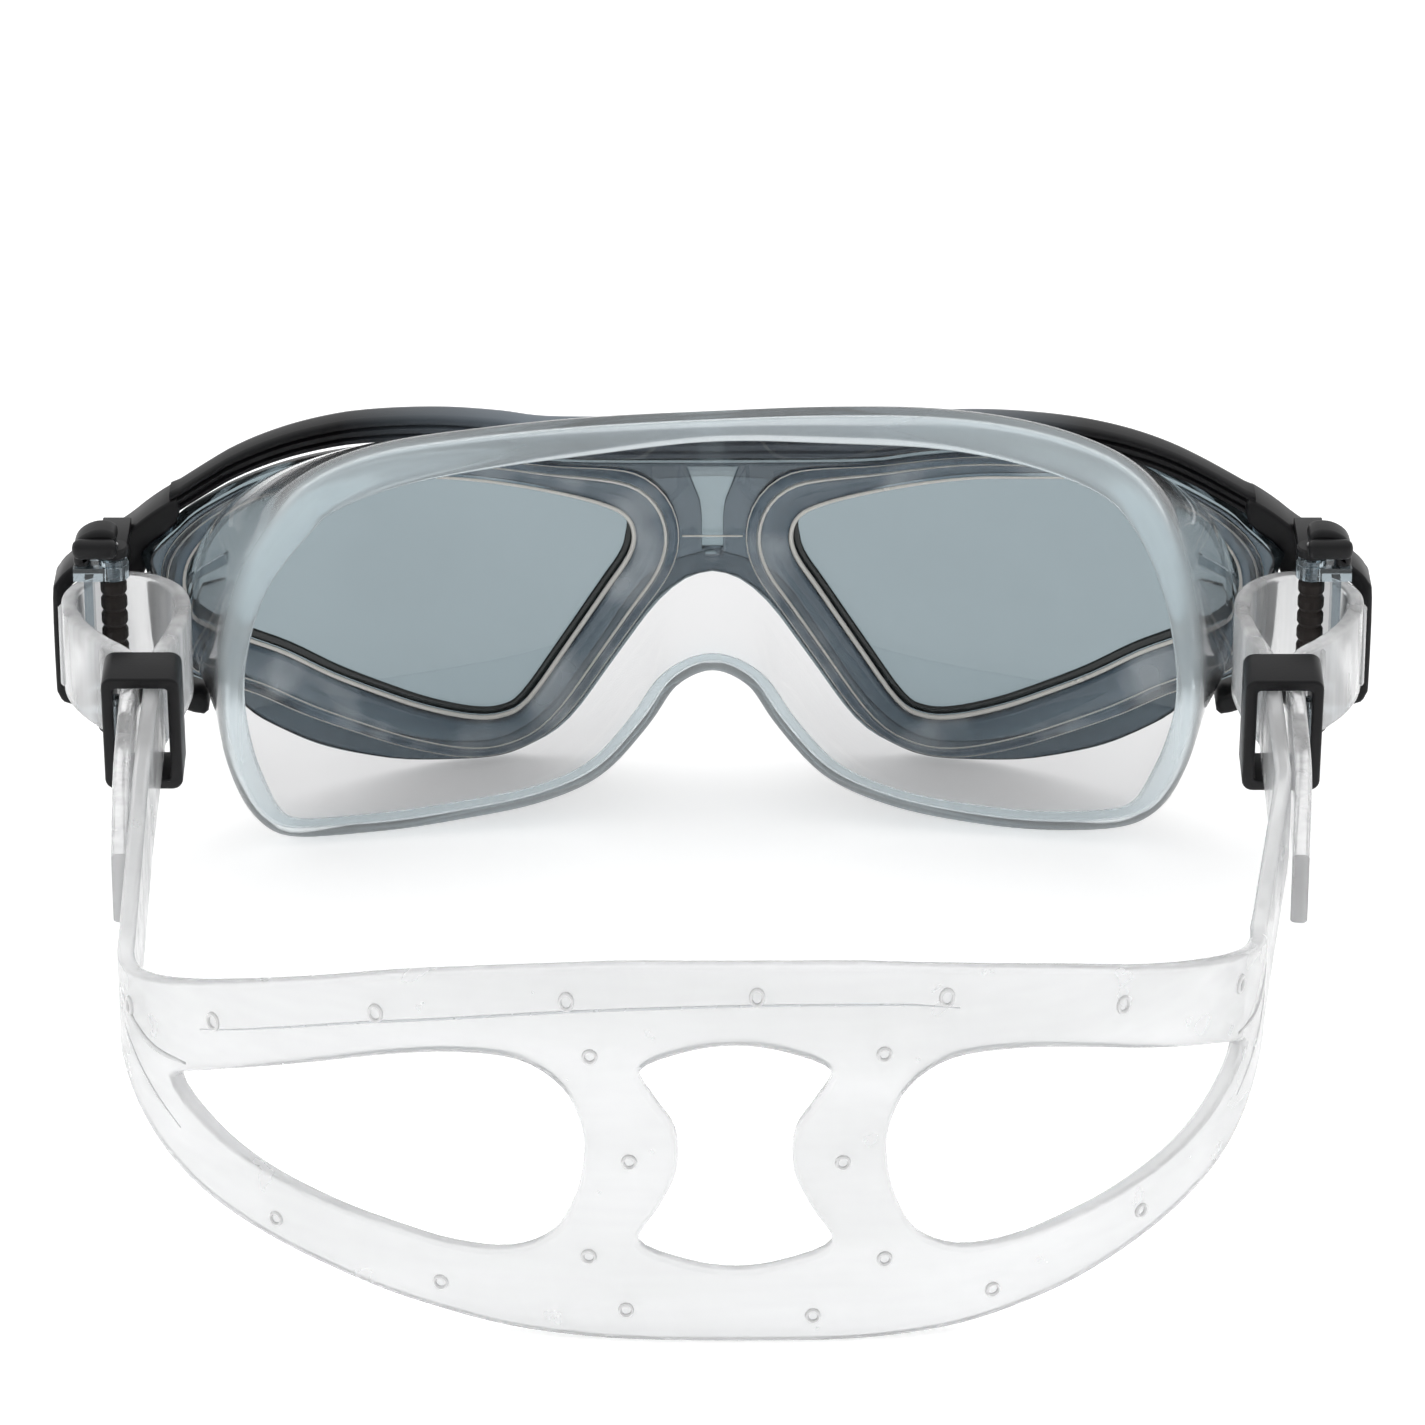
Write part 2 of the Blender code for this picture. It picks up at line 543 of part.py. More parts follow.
def make_keeper(side, label, slope, parts, look):
    """Rectangular ring that holds the strap's two strands together and slides along them."""
    across, tall = KEEPER_INSIDE[0] / 2, KEEPER_INSIDE[1] / 2
    inside = [(-across, -tall), (across, -tall), (across, tall), (-across, tall)]
    across, tall = across + KEEPER_BAR, tall + KEEPER_BAR
    outside = [(-across, -tall), (across, -tall), (across, tall), (-across, tall)]
    bm = upright(filled_outline([outside, inside], -KEEPER_DEPTH / 2, KEEPER_DEPTH / 2))
    keeper = place(object_from(f"{label}_keeper", bm), parts, look)
    keeper.location = (side * KEEPER_OUT, KEEPER_BACK, STRAP_MID_AT_PIN + slope * (KEEPER_BACK - PIN_BACK))
    keeper.rotation_euler = (math.atan(slope), 0, 0)
    return bevelled(keeper, 0.0006, 1)


# ---------------------------------------------------------------- strap

def rear_path(side, bend):
    """Plan of the strap from the middle of the head to the keeper, the length to each point, and the yoke's length."""
    join = (side * YOKE_JOIN[side][0], YOKE_JOIN[side][1])
    across, along = bend[side]
    points = []
    for angle in np.linspace(0, math.pi / 2, REAR_POINTS)[:-1]:
        x = YOKE_CENTRE + (join[0] - YOKE_CENTRE) * math.sin(angle) ** (2 / across)
        points.append((x, YOKE_BACK + (join[1] - YOKE_BACK) * (1 - math.cos(angle) ** (2 / along))))
    front = (side * STRAND_OUT, STRAIGHT_BACK)
    middle = ((join[0] + front[0]) / 2, (join[1] + front[1]) / 2)
    points += [tuple(p) for p in smooth([join, middle, front], FRONT_POINTS)]
    points.append((side * STRAND_OUT, STRAIGHT_FRONT))
    points = np.array(points)
    lengths = np.concatenate([[0], np.cumsum(np.linalg.norm(np.diff(points, axis=0), axis=1))])
    return points, lengths, lengths[REAR_POINTS - 1] + YOKE_EXTRA[side]


def along_path(points, lengths, distance):
    """Place and forward direction at that distance along a path."""
    step = 0.0005
    place_at = [np.interp(distance, lengths, points[:, i]) for i in range(2)]
    ahead = [np.interp(distance + step, lengths, points[:, i]) for i in range(2)]
    behind = [np.interp(distance - step, lengths, points[:, i]) for i in range(2)]
    direction = np.array(ahead) - np.array(behind)
    return np.array(place_at), direction / np.linalg.norm(direction)


def mirror_pattern(half):
    return [(-s, h) for s, h in reversed(half)] + list(half)


def make_yoke(parts, look):
    """Split rear part of the strap: cut flat with three openings, then bent upright round the head."""
    half_width = STRAP_WIDTH / 2
    ends = [(YOKE_END, STRAP_MID_AT_YOKE + half_width), (YOKE_END, STRAP_MID_AT_YOKE - half_width)]
    top = smooth(mirror_pattern(YOKE_TOP[1:] + ends[:1]), 2)
    bottom = np.maximum(smooth(mirror_pattern(YOKE_BOTTOM[1:] + ends[1:]), 2), (-YOKE_END, 0))
    outline = [tuple(p) for p in bottom] + [tuple(p) for p in top[::-1]]
    middle = mirrored_loop(MIDDLE_WINDOW[1:], 3, (MIDDLE_WINDOW[0], (0, MIDDLE_WINDOW_LOW)))
    side_window = smooth(SIDE_WINDOW, 2, closed=True)
    windows = [middle, side_window, side_window * np.array([-1, 1])]
    bm = filled_outline([outline] + [[tuple(p) for p in w] for w in windows], -STRAP_THICKNESS / 2,
                        STRAP_THICKNESS / 2)
    slice_along_x(bm, np.arange(-YOKE_END, YOKE_END, YOKE_STATION)[1:])
    paths = {side: (rear_path(side, YOKE_BEND_BOTTOM), rear_path(side, YOKE_BEND_TOP)) for side, label in SIDES}
    for vertex in bm.verts:
        along, up, off = vertex.co
        side = 1 if along >= 0 else -1
        spot, direction = yoke_spot(paths[side], abs(along), up / YOKE_HEIGHT)
        if abs(along) < 0.0006:
            spot, direction = np.array([YOKE_CENTRE + along, YOKE_BACK]), np.array([side, 0.0])
        outward = np.array([direction[1], -direction[0]]) * side
        vertex.co = (*(spot + outward * off), up)
    return place(object_from("strap_yoke", bm), parts, look)


def yoke_spot(paths, along, height):
    """Place and direction on the yoke, between its lower edge's path and its upper edge's path."""
    spot, direction = 0, 0
    late = min(max((along - YOKE_EVEN) / (YOKE_END - YOKE_EVEN), 0), 1)
    for path, share in zip(paths, (1 - height, height)):
        points, lengths, whole = path
        distance = along + (whole - YOKE_END) * late * late * (3 - 2 * late)
        there, heading = along_path(points, lengths, max(distance, 0.0006))
        spot = spot + share * there
        direction = direction + share * heading
    return spot, direction / np.linalg.norm(direction)


def band_path(side):
    """Plan of one end of the strap: forward along the strand, round the roller and back through the keeper."""
    points, lengths, yoke_length = rear_path(side, YOKE_BEND_TOP)
    stations = np.linspace(yoke_length + GAP, lengths[-1] - 0.001, 14)
    strand = [along_path(points, lengths, s)[0] for s in stations]
    loop = [(side * STRAND_OUT, STRAIGHT_FRONT)] + [(side * x, y) for x, y in LOOP_PLAN]
    loop += [(side * (TAIL_OUT + 0.0003), STRAIGHT_FRONT)]
    tail = [(side * TAIL_OUT, STRAIGHT_FRONT - 0.003), (side * TAIL_OUT, (STRAIGHT_FRONT + STRAIGHT_BACK) / 2),
            (side * TAIL_OUT, STRAIGHT_BACK), (side * TAIL_END[0], TAIL_END[1])]
    return np.vstack([np.array(strand), smooth(loop, 3)[:-1], smooth([loop[-1]] + tail, 3)])


def strap_slope(side):
    """Rise of the strap per metre forward, from the yoke's end to the pin."""
    points, lengths, yoke_length = rear_path(side, YOKE_BEND_TOP)
    start = along_path(points, lengths, yoke_length)[0][1]
    return (STRAP_MID_AT_PIN - STRAP_MID_AT_YOKE) / (PIN_BACK - start)


def make_band(side, label, parts, look):
    """One end of the strap: strand, loop and free tail, cut in plan and raised towards the front."""
    path = band_path(side)
    direction = np.gradient(path, axis=0)
    direction /= np.linalg.norm(direction, axis=1)[:, None]
    across = np.stack([direction[:, 1], -direction[:, 0]], axis=1) * STRAP_THICKNESS / 2
    outline = [tuple(p) for p in path + across] + [tuple(p) for p in (path - across)[::-1]]
    bm = filled_outline([outline], -STRAP_WIDTH / 2, STRAP_WIDTH / 2)
    slope = strap_slope(side)
    for vertex in bm.verts:
        vertex.co.z += STRAP_MID_AT_PIN + slope * (vertex.co.y - PIN_BACK)
    return place(object_from(f"{label}_strap_band", bm), parts, look)


# ---------------------------------------------------------------- assembly

def main():
    clear_scene()
    parts = collection("swim_mask")
    cutters = collection("cutters")
    smoke = principled("smoke_lens", (0.42, 0.48, 0.52), 0.08)
    black = principled("black_plastic", (0.03, 0.03, 0.03), 0.45)
    skirt_silicone = principled("skirt_silicone", (0.74, 0.83, 0.87), 0.25)
    strap_silicone = principled("strap_silicone", (0.88, 0.89, 0.90), 0.30)
    steel = principled("steel", (0.55, 0.55, 0.56), 0.30, 1.0)
    clear = principled("clear_plastic", (0.55, 0.62, 0.66), 0.12)
    brown_black = principled("roller_plastic", (0.045, 0.038, 0.034), 0.5)
    make_lens(parts, smoke)
    make_brow_bar(parts, black)
    make_skirt(parts, cutters, skirt_silicone)
    make_yoke(parts, strap_silicone)
    for side, label in SIDES:
        make_band(side, label, parts, strap_silicone)
        make_housing(side, label, parts, cutters, black)
        make_pin(side, label, parts, steel)
        make_roller(side, label, parts, brown_black)
        make_lever(side, label, parts, cutters, clear)
        make_knob(side, label, parts, black)
        make_spring(side, label, parts, steel)
        make_keeper(side, label, strap_slope(side), parts, black)
    for item in list(parts.objects) + list(cutters.objects):
        item.location.y -= HALF_DEPTH


main()
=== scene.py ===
"""Looks of a low-volume swim mask with a split silicone strap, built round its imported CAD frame."""

import math

import bmesh
import bpy
import numpy as np
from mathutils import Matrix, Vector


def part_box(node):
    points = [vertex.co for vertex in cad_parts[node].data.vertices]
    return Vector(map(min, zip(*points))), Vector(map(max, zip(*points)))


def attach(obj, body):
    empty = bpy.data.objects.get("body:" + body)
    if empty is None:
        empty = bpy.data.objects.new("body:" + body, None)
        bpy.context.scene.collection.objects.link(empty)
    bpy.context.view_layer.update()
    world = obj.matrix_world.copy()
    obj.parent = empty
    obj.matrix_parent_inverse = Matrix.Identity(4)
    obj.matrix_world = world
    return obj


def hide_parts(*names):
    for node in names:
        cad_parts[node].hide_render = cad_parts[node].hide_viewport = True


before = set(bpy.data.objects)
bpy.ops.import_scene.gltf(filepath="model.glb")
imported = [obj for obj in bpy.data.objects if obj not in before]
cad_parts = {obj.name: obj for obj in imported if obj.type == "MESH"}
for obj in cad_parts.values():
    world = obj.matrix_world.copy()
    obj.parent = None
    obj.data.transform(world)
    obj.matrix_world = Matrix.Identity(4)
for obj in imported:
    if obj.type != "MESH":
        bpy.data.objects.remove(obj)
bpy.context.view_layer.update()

SIDES = ((-1, "left"), (1, "right"))

TENTHS_PER_METRE = 10000


def metres(given):
    """The same nested points in metres; the long outlines below are written in tenths of a millimetre."""
    if isinstance(given, (list, tuple)):
        return type(given)(metres(value) for value in given)
    return given / TENTHS_PER_METRE


# The lens front is y = 0 in every number below; LENS_FRONT is where the frame has it
LENS_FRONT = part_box("lens")[1][1]
LENS_THICKNESS = 0.0020
LENS_REACH = 0.084
LENS_SWEEP = 0.032
LENS_TIP = 0.0838
LENS_TURN = 1.54
LENS_COLUMNS = 131
LENS_ROWS = 25
LENS_CORNER = 0.0004
LENS_SHOULDER = 0.0705
BAR_GAP = 0.0003
LENS_UPPER = metres([(700, 552), (770, 534), (796, 519), (824, 504), (838, 486)])
LENS_LOWER = metres([
    (838, 486), (832, 462), (827, 430), (825, 390), (817, 325), (796, 280), (766, 250), (732, 216),
    (690, 158), (603, 82), (494, 30), (400, 12), (335, 9), (285, 24), (220, 66), (142, 178), (80, 268),
    (36, 308), (0, 318),
])

# Brow bar: top edge and height along x, and its ribbed section (forward, share of the height)
BAR_END = 0.0802
LEFT_LIFT = 0.0009
LEFT_LIFT_REACH = (0.030, 0.055, 0.072, 0.079)
LEFT_LIFT_SHARES = (0, 1, 1, 0.4)
BAR_COLUMNS = 121
BAR_TOP = metres([(0, 558), (230, 563), (320, 577), (425, 590), (570, 599), (680, 594), (790, 572)])
BAR_HEIGHT = metres([(0, 44), (250, 46), (450, 40), (790, 36)])
BAR_SECTION = [
    (0.0022, 0.00), (0.0028, 0.14), (0.0028, 0.84), (0.0023, 0.97), (0.0016, 1.00), (-0.0012, 1.00),
    (-0.0019, 0.97), (-0.0022, 0.88), (-0.0022, 0.72), (-0.0015, 0.66), (-0.0015, 0.61), (-0.0023, 0.55),
    (-0.0023, 0.38), (-0.0016, 0.32), (-0.0016, 0.27), (-0.0023, 0.21), (-0.0023, 0.06), (-0.0016, 0.00),
]

# Skirt from the top centre round to the nose: seat edge, root on the lens, lip with its depth, turn-in width
SKIRT_THICKNESS = 0.0015
SKIRT_SECTIONS = metres([
    ((0, 462), (0, 490), (0, -200, 660), 30), ((165, 440), (180, 496), (180, -220, 670), 42),
    ((320, 474), (340, 530), (345, -265, 684), 46), ((480, 500), (500, 544), (490, -320, 692), 52),
    ((605, 498), (636, 540), (605, -370, 666), 50), ((690, 470), (730, 508), (668, -420, 606), 42),
    ((726, 424), (768, 444), (711, -445, 514), 32), ((726, 366), (777, 365), (729, -450, 410), 26),
    ((700, 310), (764, 288), (732, -420, 290), 26), ((648, 240), (716, 196), (726, -350, 136), 38),
    ((572, 168), (630, 114), (656, -295, 14), 30), ((480, 112), (500, 50), (510, -270, -2), 26),
    ((396, 82), (402, 26), (375, -250, 12), 24), ((322, 84), (312, 28), (262, -235, 40), 22),
    ((256, 146), (226, 86), (172, -225, 88), 22), ((186, 252), (150, 198), (104, -220, 166), 22),
    ((122, 352), (80, 292), (60, -220, 234), 22), ((0, 385), (0, 334), (0, -220, 263), 22),
])
SKIRT_WALL_STEPS = (0.12, 0.34, 0.60, 0.84)
SKIRT_WALL_SPREAD = 0.85
SKIRT_GAP = 0.0003
SKIRT_FLANGE = 0.45
LIP_ROLL = ((0.35, -0.0014), (1.0, -0.0010))
FLOOR_GAP = 0.0001
# How far the soft lip has moved from those sections on each side (outward, up)
LIP_SHIFTS = {
    -1: metres([
        (0, -6), (0, -18), (0, -33), (-4, -43), (-26, -38), (-45, -10), (-34, 0), (-23, 0), (-16, 0),
        (-19, 0), (-5, 8), (0, 17), (0, 16), (0, 8), (0, 0), (0, 0), (0, 0), (0, 0),
    ]),
    1: metres([
        (0, -6), (0, 0), (0, 0), (0, -11), (-7, -14), (-17, -4), (-27, 0), (-27, 0), (-23, 0), (-35, 4),
        (-18, 28), (0, 20), (0, 12), (0, 6), (0, 0), (0, 0), (0, 0), (0, 0),
    ]),
}
# How blue and dull each row of the skirt is, and where it is at its fullest (outward, up)
LIP_SHARES = (0.30, 0.04, 0.0, 0.0, 0.03, 0.16, 0.78, 0.90, 0.72)
LIP_LEAST = 0.68
LIP_FULL_ACROSS = (0.020, 0.050)
LIP_FULL_UP = (0.010, 0.045)

# Eye windows and the smoky frame round them (outward, up)
WINDOW = metres([
    (118, 390), (132, 422), (171, 443), (240, 464), (321, 484), (400, 500), (471, 510), (541, 522),
    (606, 527), (661, 525), (708, 514), (748, 495), (777, 465), (786, 425), (775, 378), (742, 334),
    (697, 296), (645, 256), (577, 199), (506, 152), (440, 116), (372, 92), (322, 90), (282, 114),
    (220, 205), (160, 298), (126, 352),
])
PLATE_OUTLINE = metres([
    (700, 546), (765, 530), (795, 513), (820, 498), (831, 483), (821, 440), (819, 390), (810, 328),
    (788, 284), (756, 250), (722, 212), (680, 156), (598, 88), (494, 37), (400, 19), (330, 17), (282, 33),
    (222, 77), (147, 186), (85, 276), (38, 316),
])
PLATE_ARCH = 0.0326
PLATE_TOP_REACH = 0.066
PLATE_TOP_GAP = 0.0008
PLATE_DEPTH = 0.0011
PLATE_CORNER = 0.0003
PLATE_LAP = 0.0004
PLATE_SLICE = 0.003
LAID_GAP = 0.0001
RIM_GAP = 0.0002
RIM_MARGIN = 0.0006
RIM_WIDTH = (0.0014, 0.0068)
RECESS_DEPTH = (0.0001, 0.0004)
BRIDGE_LINE_REACH = 0.0046
BRIDGE_LINE_RADIUS = 0.00015
BRIDGE_LINE_UP = 0.0385
BRIDGE_LINE_BACK = 0.0014
HOURGLASS = metres([(0, 499), (39, 499), (30, 472), (19, 442), (16, 415), (16, 365), (0, 365)])
BRIDGE_SLOT = metres([(-12, 350), (12, 350), (12, 360), (-12, 360)])

# Strap
STRAP_THICKNESS = 0.0024
STRAP_WIDTH = 0.0145
STRAP_CORNER = 0.0007
STRAP_SLICE = 0.0025
STRAP_WELD = 0.00012
YOKE_CENTRE = 0.0030
YOKE_BACK = -0.1759
YOKE_JOIN = {-1: (0.0800, -0.1323), 1: (0.0748, -0.1276)}
YOKE_EXTRA = {-1: 0.003, 1: 0.007}
YOKE_BEND_TOP = {-1: (2.37, 2.29), 1: (2.44, 2.67)}
YOKE_BEND_BOTTOM = {-1: (2.32, 1.67), 1: (2.86, 1.30)}
YOKE_HEIGHT = 0.0568
YOKE_EVEN = 0.070
YOKE_END = 0.104
YOKE_STRAIGHT = (0.110, 0.125)
YOKE_STEPS = 60
MIDDLE_STEP = 0.0009
STRAND_OUT = 0.0809
TAIL_OUT = 0.0843
STRAIGHT_FRONT = -0.0580
STRAIGHT_BACK = -0.088
KEEPER_MIDDLE = -0.0630
TAIL_END = {-1: (0.0827, -0.1070), 1: (0.0822, -0.1060)}
LOOP_PLAN = metres([
    (798, -540), (784, -490), (777, -435), (788, -386), (824, -353), (871, -343), (914, -356), (942, -392),
    (942, -436), (922, -484), (889, -526), (858, -556),
])
PIN_OUT = 0.0880
PIN_BACK = -0.0402
STRAP_MID_AT_PIN = 0.03880
STRAP_MID_AT_YOKE = 0.02955
YOKE_TOP = [(0, YOKE_HEIGHT)] + metres([
    (120, 565), (230, 558), (340, 546), (450, 528), (560, 500), (680, 465), (780, 430), (860, 400),
    (930, 378), (990, 369),
])
YOKE_BOTTOM = metres([
    (0, 0), (120, 0), (220, 3), (300, 9), (380, 21), (470, 37), (550, 55), (660, 80), (760, 108),
    (840, 142), (910, 180), (980, 211),
])
SIDE_WINDOW = metres([
    (806, 268), (740, 306), (670, 335), (560, 374), (460, 404), (370, 420), (285, 417), (228, 380),
    (202, 322), (200, 270), (212, 213), (242, 157), (300, 127), (380, 126), (460, 139), (550, 156),
    (660, 184), (745, 220),
])
MIDDLE_WINDOW = metres([
    (0, 447), (65, 437), (125, 408), (105, 362), (79, 318), (77, 260), (100, 205), (128, 148), (65, 118),
])
MIDDLE_WINDOW_LOW = 0.0108
BAND_NUBS = metres([
    (-905, 330), (-720, 393), (-474, 467), (-220, 510), (28, 521), (275, 511), (522, 456), (762, 391),
])
ROUND_NUBS = metres([
    (-190, 430), (194, 433), (-139, 274), (141, 273), (-193, 128), (197, 124), (-144, 48), (103, 41),
    (-393, 67), (344, 57), (-633, 111), (577, 110),
])
BAND_NUB_TALL = 1.4
ROUND_NUB_TALL = 1.05
CREASE = metres([(-743, 372), (-600, 420), (-455, 458), (-229, 494), (0, 508), (200, 506), (292, 494)])
FORK_RIDGES = metres([
    ([(-935, 330), (-890, 312), (-840, 300), (-775, 305)], 5),
    ([(-935, 285), (-895, 258), (-845, 225), (-795, 195)], 3),
])
LOOP_RIDGES = (0.0465, 0.0600, 0.0655)
LOOP_RIDGE_RADIUS = 0.0005
LOOP_RIDGE_ENDS = ((-0.0066, 0.3), (-0.0062, 1), (0.0062, 1), (0.0066, 0.3))
CREASE_RADIUS = 0.00022

# Buckles and keepers; a seat of the pin is (bottom, top, radius)
HOUSING_OUTLINE = metres([
    (793, 563), (830, 547), (868, 521), (915, 496), (952, 474), (969, 456), (975, 432), (975, 300),
    (972, 272), (955, 254), (885, 242), (820, 232), (762, 206), (758, 232), (790, 250), (820, 262),
    (880, 272), (930, 286), (950, 310), (952, 420), (944, 450), (912, 461), (885, 456), (864, 446),
    (848, 444), (838, 462), (834, 492), (793, 526),
])
HOUSING_DEPTH = 0.0076
HOUSING_BACK = -0.0250
HOUSING_START = 0.0758
HOUSING_SLOPE = -0.332
PIN_SEATS = ((0.0240, 0.0270, 0.0030), (0.0523, 0.0539, 0.0024))
HOUSING_CORNER = 0.0007
SEAT_FRONT = -0.0300
RISER_BACK = -0.0358
RISER_HALF = 0.0018
RISER_UP = (0.0480, 0.0537)
KNOB_OUTLINE = metres([
    (34, 514), (54, 514), (56, 532), (54, 546), (48, 557), (36, 566), (22, 571), (6, 571), (-5, 565),
    (-8, 554), (-3, 545), (18, 544), (33, 540),
])
KNOB_APRON = ((-0.0010, -0.0046, 0.0533), (0.0056, -0.0020, 0.0562))
KNOB_DEPTH = 0.0048
KNOB_CORNER = 0.0009
APRON_CORNER = 0.0011
KEEPER_OUT = 0.0824
KEEPER_DEPTH = 0.0078
KEEPER_INSIDE = (0.0039, 0.00765)
KEEPER_BAR = 0.00175
KEEPER_CORNERS = (0.0016, 0.0006)
KEEPER_EDGE = 0.0004
RIB_RADIUS = 0.0010
RIB_HALF = 0.0058
RIB_SINK = 0.0002
RIB_BACK = 0.0011

# Small parts of the skirt at the outer end of each window
TAB_OUTLINE = metres([(715, 428), (780, 420), (782, 433), (715, 446)])
STRIP_OUTLINE = metres([
    (720, 404), (752, 409), (762, 390), (758, 380), (763, 370), (758, 360), (762, 350), (756, 340),
    (760, 330), (753, 320), (756, 310), (748, 300), (749, 290), (738, 262), (716, 258),
])

NUB_PROFILE = [(0.00060, -0.0001), (0.00066, 0.00025), (0.00080, 0.00042), (0.00096, 0.00030),
               (0.00106, -0.0001)]


# ---- tools

def smooth(points, per_span, closed=False):
    """Points on a smooth curve through the given ones, with per_span steps between neighbours."""
    given = np.array(points, float)
    if closed:
        given = np.vstack([given[-1], given, given[0], given[1]])
    else:
        given = np.vstack([2 * given[0] - given[1], given, 2 * given[-1] - given[-2]])
    made = []
    for before, start, end, after in zip(given, given[1:], given[2:], given[3:]):
        for step in range(per_span):
            t = step / per_span
            square = 2 * before - 5 * start + 4 * end - after
            cube = 3 * start - before - 3 * end + after
            made.append(0.5 * (2 * start + (end - before) * t + square * t * t + cube * t ** 3))
    if not closed:
        made.append(given[-2])
    return np.array(made)


def sweep(x):
    """How far the lens has swept back at x."""
    return -LENS_SWEEP * (np.abs(x) / LENS_REACH) ** 3


def finish_mesh(bm, name, angle=35):
    """An object at the frame's origin from a bmesh in layout coordinates, smooth but for its sharp edges."""
    bmesh.ops.recalc_face_normals(bm, faces=bm.faces)
    if bm.calc_volume(signed=True) < 0:
        bmesh.ops.reverse_faces(bm, faces=bm.faces)
    bmesh.ops.translate(bm, verts=bm.verts, vec=(0, LENS_FRONT, 0))
    for face in bm.faces:
        face.smooth = True
    for edge in bm.edges:
        edge.smooth = len(edge.link_faces) != 2 or edge.calc_face_angle(0) < math.radians(angle)
    mesh = bpy.data.meshes.new(name)
    bm.to_mesh(mesh)
    bm.free()
    made = bpy.data.objects.new(name, mesh)
    bpy.context.scene.collection.objects.link(made)
    return made


def grid(rows, close_across=False, close_along=False):
    """A bmesh of quads between rows of points."""
    bm = bmesh.new()
    made = [[bm.verts.new(point) for point in row] for row in rows]
    if close_along:
        made.append(made[0])
    for row, after in zip(made, made[1:]):
        count = len(row)
        for i in range(count if close_across else count - 1):
            bm.faces.new((row[i], row[(i + 1) % count], after[(i + 1) % count], after[i]))
    return bm


def capped_loft(sections):
    """A closed solid through sections that are closed rings of points."""
    bm = grid(sections, close_across=True)
    bm.verts.ensure_lookup_table()
    count = len(sections[0])
    bm.faces.new([bm.verts[i] for i in range(count)])
    bm.faces.new([bm.verts[len(bm.verts) - count + i] for i in range(count)])
    return bm


def filled_outline(outlines, low, high):
    """A bmesh of flat outlines, filled between them and given depth from low to high along local Z."""
    curve = bpy.data.curves.new("outline", "CURVE")
    curve.dimensions = "2D"
    curve.fill_mode = "BOTH"
    curve.extrude = (high - low) / 2
    for outline in outlines:
        spline = curve.splines.new("POLY")
        spline.points.add(len(outline) - 1)
        for point, (x, y) in zip(spline.points, outline):
            point.co = (x, y, 0, 1)
        spline.use_cyclic_u = True
    holder = bpy.data.objects.new("outline", curve)
    bpy.context.scene.collection.objects.link(holder)
    bpy.context.view_layer.update()
    graph = bpy.context.evaluated_depsgraph_get()
    mesh = bpy.data.meshes.new_from_object(holder.evaluated_get(graph))
    bpy.data.objects.remove(holder)
    bpy.data.curves.remove(curve)
    bm = bmesh.new()
    bm.from_mesh(mesh)
    bpy.data.meshes.remove(mesh)
    bmesh.ops.remove_doubles(bm, verts=bm.verts, dist=1e-6)
    bmesh.ops.dissolve_limit(bm, angle_limit=0.01, verts=bm.verts, edges=bm.edges)
    bmesh.ops.translate(bm, verts=bm.verts, vec=(0, 0, (low + high) / 2))
    return bm


def round_rim(bm, width, segments):
    """Rounds the edges between a plate's flat faces and its rim."""
    sharp = [e for e in bm.edges if len(e.link_faces) == 2 and e.calc_face_angle(0) > math.radians(60)
             and abs(e.verts[0].co.z - e.verts[1].co.z) < 1e-7]
    bmesh.ops.bevel(bm, geom=sharp, offset=width, segments=segments, profile=0.5, affect="EDGES")


def slice_along_x(bm, stations):
    """Cuts a flat plate into strips, and joins the triangles of each strip into one face."""
    for station in stations:
        bmesh.ops.bisect_plane(bm, geom=bm.verts[:] + bm.edges[:] + bm.faces[:], plane_co=(station, 0, 0),
                               plane_no=(1, 0, 0), dist=1e-7)
    for face in bm.faces:
        face.material_index = int(np.searchsorted(stations, face.calc_center_median().x)) % 2
    bmesh.ops.dissolve_limit(bm, angle_limit=0.01, verts=bm.verts, edges=bm.edges, delimit={"MATERIAL"})
    for face in bm.faces:
        face.material_index = 0
    bmesh.ops.triangulate(bm, faces=bm.faces)


def join(bm, part):
    """Adds one bmesh to another and frees it."""
    mesh = bpy.data.meshes.new("part")
    part.to_mesh(mesh)
    part.free()
    bm.from_mesh(mesh)
    bpy.data.meshes.remove(mesh)


def turn_points(count):
    """Angles evenly round a full turn."""
    return np.linspace(0, math.tau, count, endpoint=False)


def modifier(item, kind, **settings):
    """Adds a modifier with its settings."""
    made = item.modifiers.new(kind.lower(), kind)
    for key, value in settings.items():
        setattr(made, key, value)
    return made


def dress(item, look, body="mask", replaces=()):
    """Gives a new piece its material, its CAD body and the nodes that it stands for."""
    item.data.materials.append(look)
    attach(item, body)
    if replaces:
        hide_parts(*replaces)
    return item


# ---- materials

